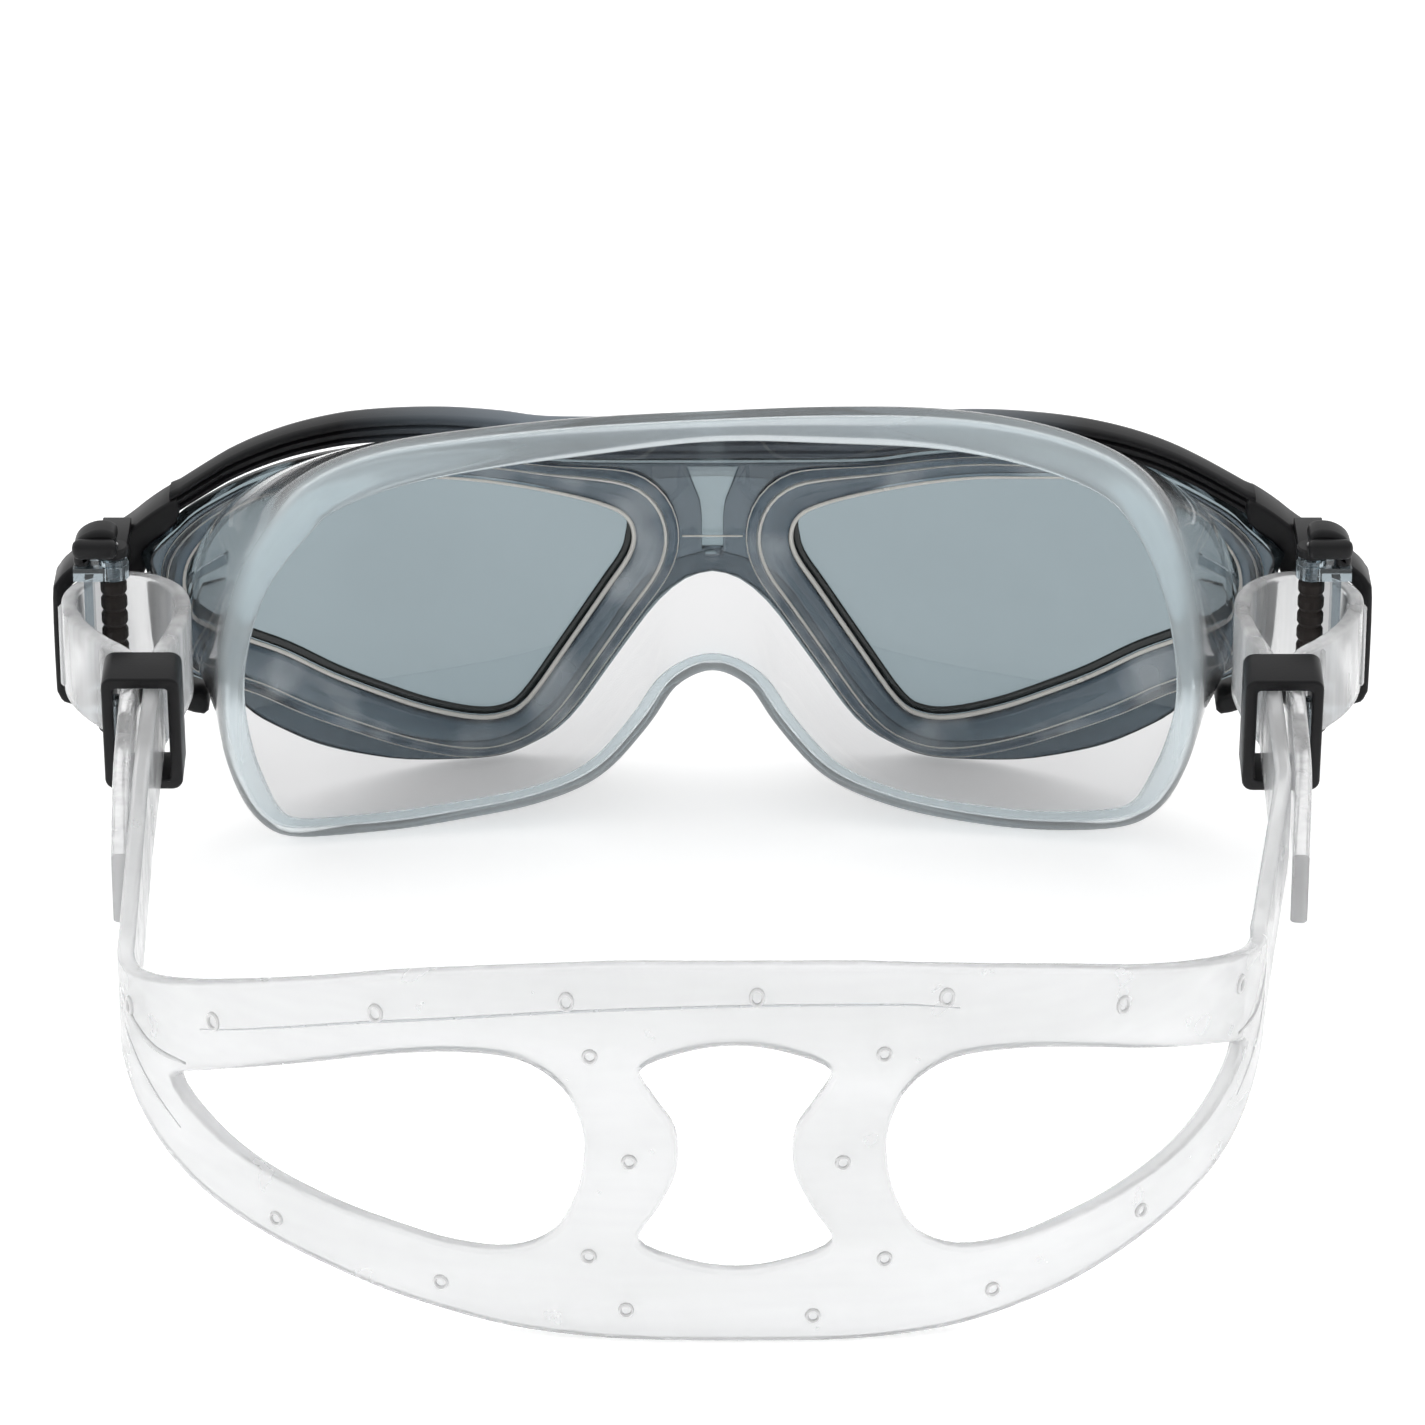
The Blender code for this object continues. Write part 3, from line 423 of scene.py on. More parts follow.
class Nodes:
    """Short-hand for a material's node tree."""

    def __init__(self, name):
        self.material = bpy.data.materials.new(name)
        self.material.use_nodes = True
        self.tree = self.material.node_tree
        self.shader = self.tree.nodes["Principled BSDF"]
        self.where = self.node("ShaderNodeTexCoord").outputs["Object"]

    def node(self, kind, **settings):
        made = self.tree.nodes.new(kind)
        for key, value in settings.items():
            setattr(made, key, value)
        return made

    def link(self, source, target):
        self.tree.links.new(source, target)

    def drive(self, socket, source):
        self.link(source, self.shader.inputs[socket])

    def put(self, **values):
        for key, value in values.items():
            self.shader.inputs[key.replace("_", " ")].default_value = value

    def noise(self, scale, detail=3.0, stretch=(1, 1, 1)):
        mapping = self.node("ShaderNodeMapping")
        mapping.inputs["Scale"].default_value = stretch
        self.link(self.where, mapping.inputs["Vector"])
        made = self.node("ShaderNodeTexNoise")
        made.inputs["Scale"].default_value = scale
        made.inputs["Detail"].default_value = detail
        self.link(mapping.outputs["Vector"], made.inputs["Vector"])
        return made.outputs["Fac"]

    def ramp(self, value, low, high, start=0.3, end=0.7):
        made = self.node("ShaderNodeMapRange")
        made.inputs["From Min"].default_value = start
        made.inputs["From Max"].default_value = end
        made.inputs["To Min"].default_value = low
        made.inputs["To Max"].default_value = high
        self.link(value, made.inputs["Value"])
        return made.outputs["Result"]

    def colours(self, value, low, high, start=0.3, end=0.7):
        made = self.node("ShaderNodeMix", data_type="RGBA")
        self.link(self.ramp(value, 0, 1, start, end), made.inputs["Factor"])
        made.inputs["A"].default_value = (*low, 1)
        made.inputs["B"].default_value = (*high, 1)
        return made.outputs["Result"]

    def bump(self, value, distance, strength=1.0):
        made = self.node("ShaderNodeBump")
        made.inputs["Distance"].default_value = distance
        made.inputs["Strength"].default_value = strength
        self.link(value, made.inputs["Height"])
        self.link(made.outputs["Normal"], self.shader.inputs["Normal"])
        return made


def moulded_plastic(name, dark, light, roughness, grain=0.00002, middle=None):
    """Satin moulded plastic with fine grain and duller patches, and at will another colour near x = 0."""
    made = Nodes(name)
    patches = made.noise(60, 4)
    colour = made.colours(patches, dark, light)
    if middle:
        parts = made.node("ShaderNodeSeparateXYZ")
        made.link(made.where, parts.inputs["Vector"])
        away = made.node("ShaderNodeMath", operation="ABSOLUTE")
        made.link(parts.outputs["X"], away.inputs[0])
        blend = made.node("ShaderNodeMix", data_type="RGBA")
        made.link(made.ramp(away.outputs["Value"], 0, 1, 0.028, 0.056), blend.inputs["Factor"])
        blend.inputs["A"].default_value = (*middle, 1)
        made.link(colour, blend.inputs["B"])
        colour = blend.outputs["Result"]
    made.drive("Base Color", colour)
    made.drive("Roughness", made.ramp(patches, roughness - 0.06, roughness + 0.08))
    made.bump(made.noise(2600, 2), grain, 0.6)
    made.put(Specular_IOR_Level=0.22)
    return made.material


def clear_sheet(name, colour, roughness, ior, transmission, milk, streak=(1, 1, 1), ripple=0.00004):
    """Clear plastic or silicone: a tinted body with faint flow marks and a soft ripple in its surface."""
    made = Nodes(name)
    flow = made.noise(45, 3, streak)
    lighter = tuple(min(1, c * 1.05) for c in colour)
    made.drive("Base Color", made.colours(flow, colour, lighter))
    made.drive("Roughness", made.ramp(made.noise(180, 3), roughness * 0.7, roughness * 1.4))
    made.drive("Transmission Weight", made.ramp(flow, transmission - milk, transmission))
    made.bump(made.noise(60, 1, streak), ripple, 0.3)
    made.put(IOR=ior)
    return made.material


def skirt_look():
    """Clear silicone wall that turns to a satin pale blue towards the lip."""
    made = Nodes("skirt_silicone")
    towards_lip = made.node("ShaderNodeAttribute", attribute_name="lip").outputs["Fac"]
    flow = made.noise(45, 3)
    mottled = made.node("ShaderNodeMath", operation="MULTIPLY_ADD")
    made.link(flow, mottled.inputs[0])
    mottled.inputs[1].default_value = 0.10
    made.link(towards_lip, mottled.inputs[2])
    value = mottled.outputs["Value"]
    made.drive("Base Color", made.colours(value, (0.74, 0.74, 0.745), (0.86, 0.94, 0.97), 0.08, 0.80))
    made.drive("Roughness", made.ramp(value, 0.05, 0.28, 0.05, 1.05))
    made.drive("Transmission Weight", made.ramp(value, 0.985, 0.62, 0.05, 1.05))
    made.bump(made.noise(60, 1), 0.00004, 0.3)
    made.put(IOR=1.20)
    return made.material


# Colours across the rim of a window, from the pane outwards: the smoky tint, with painted shade near the
# pane, on the far side of the ridge and at the outer edge, and a painted highlight band along the ridge's
# crest
RIM_TINT_AND_PAINTED_LIGHT = (
    (0.0, (0.30, 0.36, 0.41)), (0.12, (0.42, 0.49, 0.55)), (0.42, (0.60, 0.66, 0.70)),
    (0.58, (0.72, 0.79, 0.84)), (0.66, (0.96, 0.97, 0.96)), (0.74, (0.90, 0.93, 0.95)),
    (0.80, (0.46, 0.54, 0.62)), (0.90, (0.60, 0.68, 0.75)), (1.0, (0.34, 0.41, 0.48)),
)


def rim_look():
    """Smoky clear plastic with painted highlight and painted shade in bands across the rim over its tint, and
    painted cloudy reflections along it.
    """
    made = Nodes("smoke_rim")
    across = made.node("ShaderNodeAttribute", attribute_name="across").outputs["Fac"]
    bands = made.node("ShaderNodeValToRGB")
    stops = bands.color_ramp.elements
    first, *middle, last = RIM_TINT_AND_PAINTED_LIGHT
    for stop, (position, colour) in zip(stops, (first, last)):
        stop.position = position
        stop.color = (*colour, 1)
    for position, colour in middle:
        stops.new(position).color = (*colour, 1)
    made.link(across, bands.inputs["Fac"])
    # pale blue patches along the rim are painted reflections
    reflection_cloud = made.noise(70, 2)
    blend = made.node("ShaderNodeMix", data_type="RGBA")
    made.link(made.ramp(reflection_cloud, 0.0, 0.85, 0.46, 0.62), blend.inputs["Factor"])
    made.link(bands.outputs["Color"], blend.inputs["A"])
    blend.inputs["B"].default_value = (0.90, 0.95, 0.98, 1)
    made.drive("Base Color", blend.outputs["Result"])
    made.drive("Roughness", made.ramp(made.noise(180, 3), 0.03, 0.10))
    made.drive("Transmission Weight", made.ramp(reflection_cloud, 0.98, 0.72, 0.48, 0.66))
    made.bump(made.noise(90, 1), 0.00003, 0.3)
    made.put(IOR=1.45)
    return made.material


def metal(name):
    """Drawn steel with fine lengthwise streaks."""
    made = Nodes(name)
    made.put(Metallic=1.0)
    streaks = made.noise(900, 2, (1, 1, 6))
    made.drive("Base Color", made.colours(streaks, (0.42, 0.42, 0.43), (0.62, 0.62, 0.63)))
    made.drive("Roughness", made.ramp(made.noise(400, 2, (1, 1, 8)), 0.22, 0.38))
    return made.material


# Clear sheets: colour, roughness, index of refraction, transmission, milkiness, then streaks and ripple
NO_STREAKS = (1, 1, 1)
SHEETS = {
    "smoke_lens": ((0.235, 0.288, 0.310), 0.02, 1.45, 1.0, 0.0, NO_STREAKS, 0.0),
    "smoke_frame": ((0.34, 0.365, 0.40), 0.06, 1.45, 0.97, 0.02, NO_STREAKS, 0.00002),
    "smoke_inlay": ((0.80, 0.86, 0.88), 0.10, 1.45, 0.90, 0.05, NO_STREAKS, 0.00002),
    # cream colour of the fine beads round the windows and over the nose: painted highlight
    "painted_highlight": ((0.93, 0.91, 0.86), 0.20, 1.40, 0.35, 0.10, NO_STREAKS, 0.00002),
    # near-black line just inside each window's edge: painted shade
    "painted_shade": ((0.03, 0.035, 0.035), 0.10, 1.45, 0.50, 0.05, NO_STREAKS, 0.00002),
    "strap_silicone": ((0.895, 0.90, 0.905), 0.20, 1.33, 0.72, 0.14, (0.3, 1, 2), 0.0),
    "loop_silicone": ((0.95, 0.955, 0.965), 0.13, 1.33, 0.84, 0.34, (4, 4, 0.4), 0.00002),
    # whiter, less clear copy of the strap silicone for the pegs: painted highlight
    "nub_highlight_silicone": ((0.97, 0.97, 0.98), 0.20, 1.35, 0.30, 0.10, NO_STREAKS, 0.0),
    "crease_silicone": ((0.87, 0.89, 0.91), 0.30, 1.33, 0.50, 0.20, (0.3, 1, 2), 0.0),
    "clear_plastic": ((0.42, 0.49, 0.53), 0.06, 1.45, 0.95, 0.02),
}
BLACK = ((0.005, 0.005, 0.006), (0.012, 0.012, 0.013))
BROWN_BLACK = ((0.012, 0.009, 0.008), (0.024, 0.019, 0.017))
LOOKS = {name: clear_sheet(name, *values) for name, values in SHEETS.items()}
LOOKS["smoke_rim"] = rim_look()
LOOKS["skirt_silicone"] = skirt_look()
LOOKS["black_plastic"] = moulded_plastic("black_plastic", *BLACK, 0.40)
LOOKS["brow_plastic"] = moulded_plastic("brow_plastic", *BLACK, 0.36, middle=(0.150, 0.180, 0.210))
LOOKS["roller_plastic"] = moulded_plastic("roller_plastic", *BROWN_BLACK, 0.42)
LOOKS["steel"] = metal("steel")


# ---- lens, frame and skirt

def bar_edges(x):
    """Top and lower edge of the brow bar at x."""
    top = np.interp(abs(x), *smooth(BAR_TOP, 6).T)
    return top, top - np.interp(abs(x), *np.array(BAR_HEIGHT).T)


def lens_edges(x):
    """Lower and upper edge of the lens at x."""
    upper = smooth(LENS_UPPER, 8)
    lower = smooth(LENS_LOWER, 8)
    top = bar_edges(x)[1] - BAR_GAP if abs(x) < LENS_SHOULDER else np.interp(abs(x), *upper.T)
    return np.interp(abs(x), *lower[::-1].T), top


def make_lens():
    """Curved shield with an even thickness and softly rounded edges."""
    columns = []
    for angle in np.linspace(-LENS_TURN, LENS_TURN, LENS_COLUMNS):
        x = LENS_TIP * math.sin(angle)
        low, high = lens_edges(x)
        middle = sweep(x) - LENS_THICKNESS / 2
        columns.append([(x, middle, low + (high - low) * t) for t in np.linspace(0, 1, LENS_ROWS)])
    lens = finish_mesh(grid(columns), "lens_shield")
    modifier(lens, "SOLIDIFY", thickness=LENS_THICKNESS, offset=0)
    modifier(lens, "BEVEL", width=LENS_CORNER, segments=2, limit_method="ANGLE", angle_limit=math.radians(50))
    dress(lens, LOOKS["smoke_lens"], replaces=["lens"])


def make_brow_bar():
    """Black bar with moulded ribs along its back."""
    sections = []
    for x in np.linspace(-BAR_END, BAR_END, BAR_COLUMNS):
        lift = LEFT_LIFT * np.interp(-x, LEFT_LIFT_REACH, LEFT_LIFT_SHARES)
        top, low = (edge + lift for edge in bar_edges(x))
        front = sweep(x)
        sections.append([(x, front + forward, low + (top - low) * share) for forward, share in BAR_SECTION])
    bar = finish_mesh(capped_loft(sections), "brow_bar", 60)
    dress(bar, LOOKS["brow_plastic"], replaces=["brow_frame"])


def skirt_loop():
    """Sections of the skirt all round: seat, root, lip and the width of the turned-in lip."""
    back = -LENS_THICKNESS - SKIRT_GAP
    last = len(SKIRT_SECTIONS) - 1
    loop = []
    for side, numbers in ((1, range(last + 1)), (-1, range(last - 1, 0, -1))):
        for number in numbers:
            seat, root, lip, turn = SKIRT_SECTIONS[number]
            outward, up = LIP_SHIFTS[side][number]
            loop.append((side * seat[0], sweep(seat[0]) + back, seat[1],
                         side * root[0], sweep(root[0]) + back, root[1],
                         side * (lip[0] + outward), lip[1], lip[2] + up, turn))
    return smooth(loop, 4, closed=True)


def make_skirt():
    """Soft skirt: a flange on the lens, a wall and a lip rolled in against the face."""
    loop = skirt_loop()
    seat, root, lip, turn = loop[:, 0:3], loop[:, 3:6], loop[:, 6:9], loop[:, 9:10]
    along = np.roll(lip, -1, axis=0) - np.roll(lip, 1, axis=0)
    inward = np.cross((0, 1, 0), along)
    inward /= np.linalg.norm(inward, axis=1)[:, None]
    rows = [root + (seat - root) * SKIRT_FLANGE, root]
    for step in SKIRT_WALL_STEPS:
        wall = root + (lip - root) * step ** SKIRT_WALL_SPREAD
        wall[:, 1] = root[:, 1] + (lip[:, 1] - root[:, 1]) * step
        rows.append(wall)
    rows.append(lip)
    for share, back in LIP_ROLL:
        rows.append(lip + inward * turn * share + np.array([0, back, 0]))
    for row in rows:
        row[:, 2] = np.maximum(row[:, 2], SKIRT_THICKNESS + FLOOR_GAP)
    bm = grid(rows, close_across=True)
    bm.verts.ensure_lookup_table()
    lip_share = bm.verts.layers.float.new("lip")
    for number, vertex in enumerate(bm.verts):
        across = np.interp(abs(vertex.co.x), LIP_FULL_ACROSS, (0, 1))
        corner = across * np.interp(vertex.co.z, LIP_FULL_UP, (0, 1))
        vertex[lip_share] = LIP_SHARES[number // len(loop)] * (LIP_LEAST + (1 - LIP_LEAST) * corner)
    skirt = finish_mesh(bm, "face_skirt", 180)
    modifier(skirt, "SOLIDIFY", thickness=SKIRT_THICKNESS, offset=1, use_even_offset=True)
    modifier(skirt, "SUBSURF", levels=1, render_levels=1)
    dress(skirt, LOOKS["skirt_silicone"], replaces=["skirt"])


def plate_outline():
    """Outline of the smoky frame, all round."""
    top = [(x, bar_edges(x)[1] - PLATE_TOP_GAP) for x in np.linspace(-PLATE_TOP_REACH, PLATE_TOP_REACH, 34)]
    right = [tuple(p) for p in smooth(PLATE_OUTLINE, 4)]
    return top + right + [(0, PLATE_ARCH)] + [(-x, z) for x, z in reversed(right)]


def window_outline(side, grow=0.0):
    """Outline of a window, grown at will, and the outward direction at each of its points."""
    loop = smooth(WINDOW, 4, closed=True)
    along = np.roll(loop, -1, axis=0) - np.roll(loop, 1, axis=0)
    along /= np.linalg.norm(along, axis=1)[:, None]
    outward = np.stack([-along[:, 1], along[:, 0]], axis=1)
    loop = loop + outward * grow
    return loop * (side, 1), outward * (side, 1)


def lay_on_lens(bm):
    """Bends a flat plate, drawn across and up with its depth along local Z, onto the back of the lens."""
    for vertex in bm.verts:
        x, up, depth = vertex.co
        vertex.co = (x, sweep(x) - LENS_THICKNESS - LAID_GAP - depth, up)


def make_frame_plate():
    """Smoky frame between the windows and the lens's edge, with a recess and a fine painted highlight line
    over the nose.
    """
    hourglass = HOURGLASS + [(-x, z) for x, z in HOURGLASS[-2:0:-1]]
    outlines = [plate_outline(), hourglass, BRIDGE_SLOT]
    for side, _ in SIDES:
        outlines.append([tuple(p) for p in window_outline(side, PLATE_LAP)[0]])
    bm = filled_outline(outlines, 0, PLATE_DEPTH)
    round_rim(bm, PLATE_CORNER, 2)
    slice_along_x(bm, np.arange(-LENS_REACH, LENS_REACH, PLATE_SLICE))
    lay_on_lens(bm)
    dress(finish_mesh(bm, "smoke_frame"), LOOKS["smoke_frame"])
    rows = []
    for x in np.linspace(-BRIDGE_LINE_REACH, BRIDGE_LINE_REACH, 12):
        back = sweep(x) - LENS_THICKNESS - BRIDGE_LINE_BACK
        rows.append([(x, back + BRIDGE_LINE_RADIUS * math.cos(angle),
                      BRIDGE_LINE_UP + BRIDGE_LINE_RADIUS * math.sin(angle)) for angle in turn_points(8)])
    dress(finish_mesh(capped_loft(rows), "bridge_highlight_line", 180), LOOKS["painted_highlight"])
    bm = filled_outline([hourglass], *RECESS_DEPTH)
    slice_along_x(bm, np.array((-PLATE_SLICE, 0, PLATE_SLICE)))
    lay_on_lens(bm)
    dress(finish_mesh(bm, "bridge_recess"), LOOKS["smoke_inlay"])


# Beads round each window, coloured as painted highlight and painted shade lines: height, radius, and how much
# the radius swells where the bead is thickest
BEADS = {
    "pane_edge_highlight": (0.0012, 0.00028, 0.00012),
    "shade_line": (0.0003, 0.00008, 0.00058),
    "rim_highlight_line": (0.0022, 0.00012, 0.00018),
    "rim_border_highlight": (0.0014, 0.00013, 0),
}
# Section of a rim: share of its width from the pane outwards, and height
RIM_PROFILE = [
    (0.00, 0.0000), (0.00, 0.0012), (0.08, 0.0019), (0.20, 0.0021), (0.40, 0.0019), (0.58, 0.0018),
    (0.68, 0.0022), (0.74, 0.0026), (0.79, 0.0022), (0.86, 0.0021), (0.94, 0.0018), (1.00, 0.0011),
    (1.00, 0.0000),
]


def rim_reach(loop):
    """Room between each point of a window's outline and the edge of the smoky frame."""
    edge = np.array(plate_outline())
    reach = np.linalg.norm(loop[:, None, :] - edge[None, :, :], axis=2).min(axis=1) - RIM_MARGIN
    reach = np.clip(reach, *RIM_WIDTH)
    for _ in range(3):
        reach = (np.roll(reach, 1) + reach + np.roll(reach, -1)) / 3
    return reach[:, None]


def on_lens(flat, height):
    """Points across and up, lifted off the back of the lens."""
    back = sweep(flat[:, 0]) - LENS_THICKNESS - RIM_GAP
    return np.stack([flat[:, 0], back - height, flat[:, 1]], axis=1)


def lens_bead(name, flat, outward, height, radius, look, squash=1.0):
    """Fine bead that follows an outline on the back of the lens; its radius may vary along it."""
    radius = np.broadcast_to(np.array(radius), (len(flat),))[:, None]
    rows = []
    for angle in turn_points(10):
        ring = flat + outward * radius * math.cos(angle)
        rows.append(on_lens(ring, height + squash * radius[:, 0] * math.sin(angle)))
    bm = grid(rows, close_across=True, close_along=True)
    return dress(finish_mesh(bm, name, 180), LOOKS[look])


def make_eye_rims():
    """Ridged ring round each window: a painted highlight along the edge of the pane, a painted shade line
    that is widest along the lower side, and two fine outer beads coloured as painted highlight lines.
    """
    for side, label in SIDES:
        loop, outward = window_outline(side)
        reach = rim_reach(loop)
        rows = []
        for share, height in RIM_PROFILE:
            rows.append(on_lens(loop + outward * share * reach, height))
        bm = grid(rows, close_across=True, close_along=True)
        bm.verts.ensure_lookup_table()
        across = bm.verts.layers.float.new("across")
        for number, vertex in enumerate(bm.verts):
            vertex[across] = RIM_PROFILE[number // len(loop)][0]
        dress(finish_mesh(bm, f"{label}_eye_rim", 70), LOOKS["smoke_rim"])
        inner = np.clip((0.062 - np.abs(loop[:, 0])) / 0.03, 0, 1)
        low = np.clip((outward @ np.array([-0.25 * side, -1.0]) + 0.35) / 0.6, 0, 1)
        bridge = np.interp(np.abs(loop[:, 0]), (0.014, 0.030), (1, 0))
        # the cream beads are painted highlights; the near-black bead is painted shade, widest along the lower
        # side
        for name, shift, swell, look, squash in (
                ("pane_edge_highlight", -0.0001, inner, "painted_highlight", 1.0),
                ("shade_line", -(0.0005 + 0.0004 * low[:, None]), low, "painted_shade", 0.4),
                ("rim_highlight_line", reach * 0.70, bridge, "painted_highlight", 1.0),
                ("rim_border_highlight", reach - 0.0002, 0, "painted_highlight", 1.0)):
            height, radius, more = BEADS[name]
            lens_bead(f"{label}_{name}", loop + outward * shift, outward, height, radius + more * swell, look,
                      squash)


# ---- strap

def rear_path(side, bend):
    """Plan of the strap from the middle of the head to the keeper, its running length, and the yoke's."""
    join = (side * YOKE_JOIN[side][0], YOKE_JOIN[side][1])
    across, along = bend[side]
    points = []
    for angle in np.linspace(0, math.pi / 2, YOKE_STEPS)[:-1]:
        x = YOKE_CENTRE + (join[0] - YOKE_CENTRE) * math.sin(angle) ** (2 / across)
        points.append((x, YOKE_BACK + (join[1] - YOKE_BACK) * (1 - math.cos(angle) ** (2 / along))))
    front = (side * STRAND_OUT, STRAIGHT_BACK)
    middle = ((join[0] + front[0]) / 2, (join[1] + front[1]) / 2)
    points += [tuple(p) for p in smooth([join, middle, front], 8)]
    points.append((side * STRAND_OUT, STRAIGHT_FRONT))
    points = np.array(points)
    lengths = np.concatenate([[0], np.cumsum(np.linalg.norm(np.diff(points, axis=0), axis=1))])
    return points, lengths, lengths[YOKE_STEPS - 1] + YOKE_EXTRA[side]


def along_path(points, lengths, distance):
    """Place and forward direction at that distance along a path."""
    step = 0.0008
    place, ahead, behind = [np.array([np.interp(distance + shift, lengths, points[:, i]) for i in range(2)])
                            for shift in (0, step, -step)]
    direction = ahead - behind
    return place, direction / np.linalg.norm(direction)


def strap_spot(paths, along, height):
    """Place and direction on the strap, between its lower edge's path and its upper edge's path."""
    spot, direction = 0, 0
    late = min(max((along - YOKE_EVEN) / (YOKE_END - YOKE_EVEN), 0), 1)
    for path, share in zip(paths, (1 - height, height)):
        points, lengths, whole = path
        distance = along + (whole - YOKE_END) * late * late * (3 - 2 * late)
        there, heading = along_path(points, lengths, max(distance, MIDDLE_STEP))
        spot = spot + share * there
        direction = direction + share * heading
    return spot, direction / np.linalg.norm(direction)


PATHS = {side: (rear_path(side, YOKE_BEND_BOTTOM), rear_path(side, YOKE_BEND_TOP)) for side, _ in SIDES}


def strap_slope(side):
    """Where the strap starts to rise towards the buckle, and how steeply."""
    start = strap_spot(PATHS[side], YOKE_END, 0.5)[0][1]
    return start, (STRAP_MID_AT_PIN - STRAP_MID_AT_YOKE) / (PIN_BACK - start)


def bend_round_head(point):
    """A point of the flat strap (along, up, outward) in its place round the head."""
    along, up, off = point
    side = 1 if along >= 0 else -1
    spot, direction = strap_spot(PATHS[side], abs(along), min(max(up / YOKE_HEIGHT, 0), 1))
    if abs(along) < MIDDLE_STEP:
        spot, direction = np.array([YOKE_CENTRE + along, YOKE_BACK]), np.array([side, 0.0])
    outward = np.array([direction[1], -direction[0]]) * side
    start, slope = strap_slope(side)
    rise = max(spot[1] - start, 0) * slope
    return (*(spot + outward * off), up + rise)


def strand_length(side):
    """Length of the flat strap from its middle to the keeper."""
    _, lengths, whole = PATHS[side][1]
    return lengths[-1] - abs(STRAIGHT_FRONT - KEEPER_MIDDLE) - (whole - YOKE_END)


def make_strap():
    """Split silicone strap in one piece from keeper to keeper: cut flat, then bent round the head."""
    half = STRAP_WIDTH / 2
    ends = {side: strand_length(side) for side, _ in SIDES}
    upper, lower = [], []
    near, far = YOKE_STRAIGHT
    for which, line, shift in ((upper, YOKE_TOP, half), (lower, YOKE_BOTTOM, -half)):
        edge = STRAP_MID_AT_YOKE + shift
        left = [(-ends[-1], edge), (-far, edge), (-near, edge)]
        right = [(near, edge), (far, edge), (ends[1], edge)]
        middle = [(-s, h) for s, h in reversed(line[1:])] + line[1:]
        which += [tuple(p) for p in smooth(left + middle + right, 3)]
    outline = [(s, max(h, 0)) for s, h in lower] + upper[::-1]
    left_half = [(-s, h) for s, h in reversed(MIDDLE_WINDOW[1:])]
    middle = smooth(MIDDLE_WINDOW + [(0, MIDDLE_WINDOW_LOW)] + left_half, 4, closed=True)
    side_window = smooth(SIDE_WINDOW, 4, closed=True)
    windows = [[tuple(p) for p in w] for w in (middle, side_window, side_window * np.array([-1, 1]))]
    bm = filled_outline([outline] + windows, -STRAP_THICKNESS / 2, STRAP_THICKNESS / 2)
    round_rim(bm, STRAP_CORNER, 3)
    slice_along_x(bm, np.arange(-0.20, 0.20, STRAP_SLICE))
    bmesh.ops.remove_doubles(bm, verts=bm.verts, dist=STRAP_WELD)
    for vertex in bm.verts:
        vertex.co = bend_round_head(vertex.co)
    strap = finish_mesh(bm, "split_strap", 50)
    modifier(strap, "WEIGHTED_NORMAL", keep_sharp=True)
    dress(strap, LOOKS["strap_silicone"], replaces=["strap_yoke"])


def make_nubs():
    """Small moulded pegs with a raised rim on the outer face of the strap, in a whiter, less clear silicone
    that paints their ring highlights.
    """
    bm = bmesh.new()
    for spots, tall in ((BAND_NUBS, BAND_NUB_TALL), (ROUND_NUBS, ROUND_NUB_TALL)):
        for along, up in spots:
            ring = []
            for turn in turn_points(24):
                section = []
                for radius, lift in NUB_PROFILE:
                    point = (along + radius * math.cos(turn), up + tall * radius * math.sin(turn),
                             STRAP_THICKNESS / 2 + lift)
                    section.append(bm.verts.new(bend_round_head(point)))
                ring.append(section)
            for here, after in zip(ring, ring[1:] + ring[:1]):
                for i in range(len(here)):
                    j = (i + 1) % len(here)
                    bm.faces.new((here[i], here[j], after[j], after[i]))
    dress(finish_mesh(bm, "strap_nubs", 180), LOOKS["nub_highlight_silicone"])


def band_path(side):
    """Plan of a strap end: from the keeper round the roller, back through the keeper and on as a tail."""
    loop = [(side * STRAND_OUT, STRAIGHT_FRONT)] + [(side * x, y) for x, y in LOOP_PLAN]
    loop += [(side * (TAIL_OUT + 0.0003), STRAIGHT_FRONT)]
    tail = [(side * TAIL_OUT, STRAIGHT_FRONT - 0.003), (side * (TAIL_OUT - 0.0002), -0.073),
            (side * (TAIL_OUT - 0.0006), STRAIGHT_BACK), (side * TAIL_END[side][0], TAIL_END[side][1])]
    start = np.array([(side * STRAND_OUT, KEEPER_MIDDLE + 0.0003)])
    return np.vstack([start, smooth(loop, 5)[:-1], smooth([loop[-1]] + tail, 6)])


def make_loops():
    """Each end of the strap: round the roller, back through the keeper and on as a free tail."""
    for side, label in SIDES:
        path = band_path(side)
        direction = np.gradient(path, axis=0)
        direction /= np.linalg.norm(direction, axis=1)[:, None]
        out = np.stack([direction[:, 1], -direction[:, 0]], axis=1)
        slope = strap_slope(side)[1]
        half, thick, corner = STRAP_WIDTH / 2, STRAP_THICKNESS / 2, STRAP_CORNER
        sections = []
        for i, (spot, normal) in enumerate(zip(path, out)):
            taper = 1.0 if i < len(path) - 3 else 0.94 - 0.10 * (i - len(path) + 3)
            middle = STRAP_MID_AT_PIN + slope * (spot[1] - PIN_BACK)
            ring = []
            for up_sign, off_sign, start in ((1, 1, 0), (1, -1, 90), (-1, -1, 180), (-1, 1, 270)):
                for step in (0, 30, 60, 90):
                    angle = math.radians(start + step)
                    off = off_sign * (thick - corner) + corner * math.cos(angle)
                    up = up_sign * (half - corner) + corner * math.sin(angle)
                    ring.append((*(spot + normal * off), middle + up * taper))
            sections.append(ring)
        piece = finish_mesh(capped_loft(sections), f"{label}_strap_loop", 50)
        dress(piece, LOOKS["loop_silicone"], replaces=[f"{label}_strap_band"])


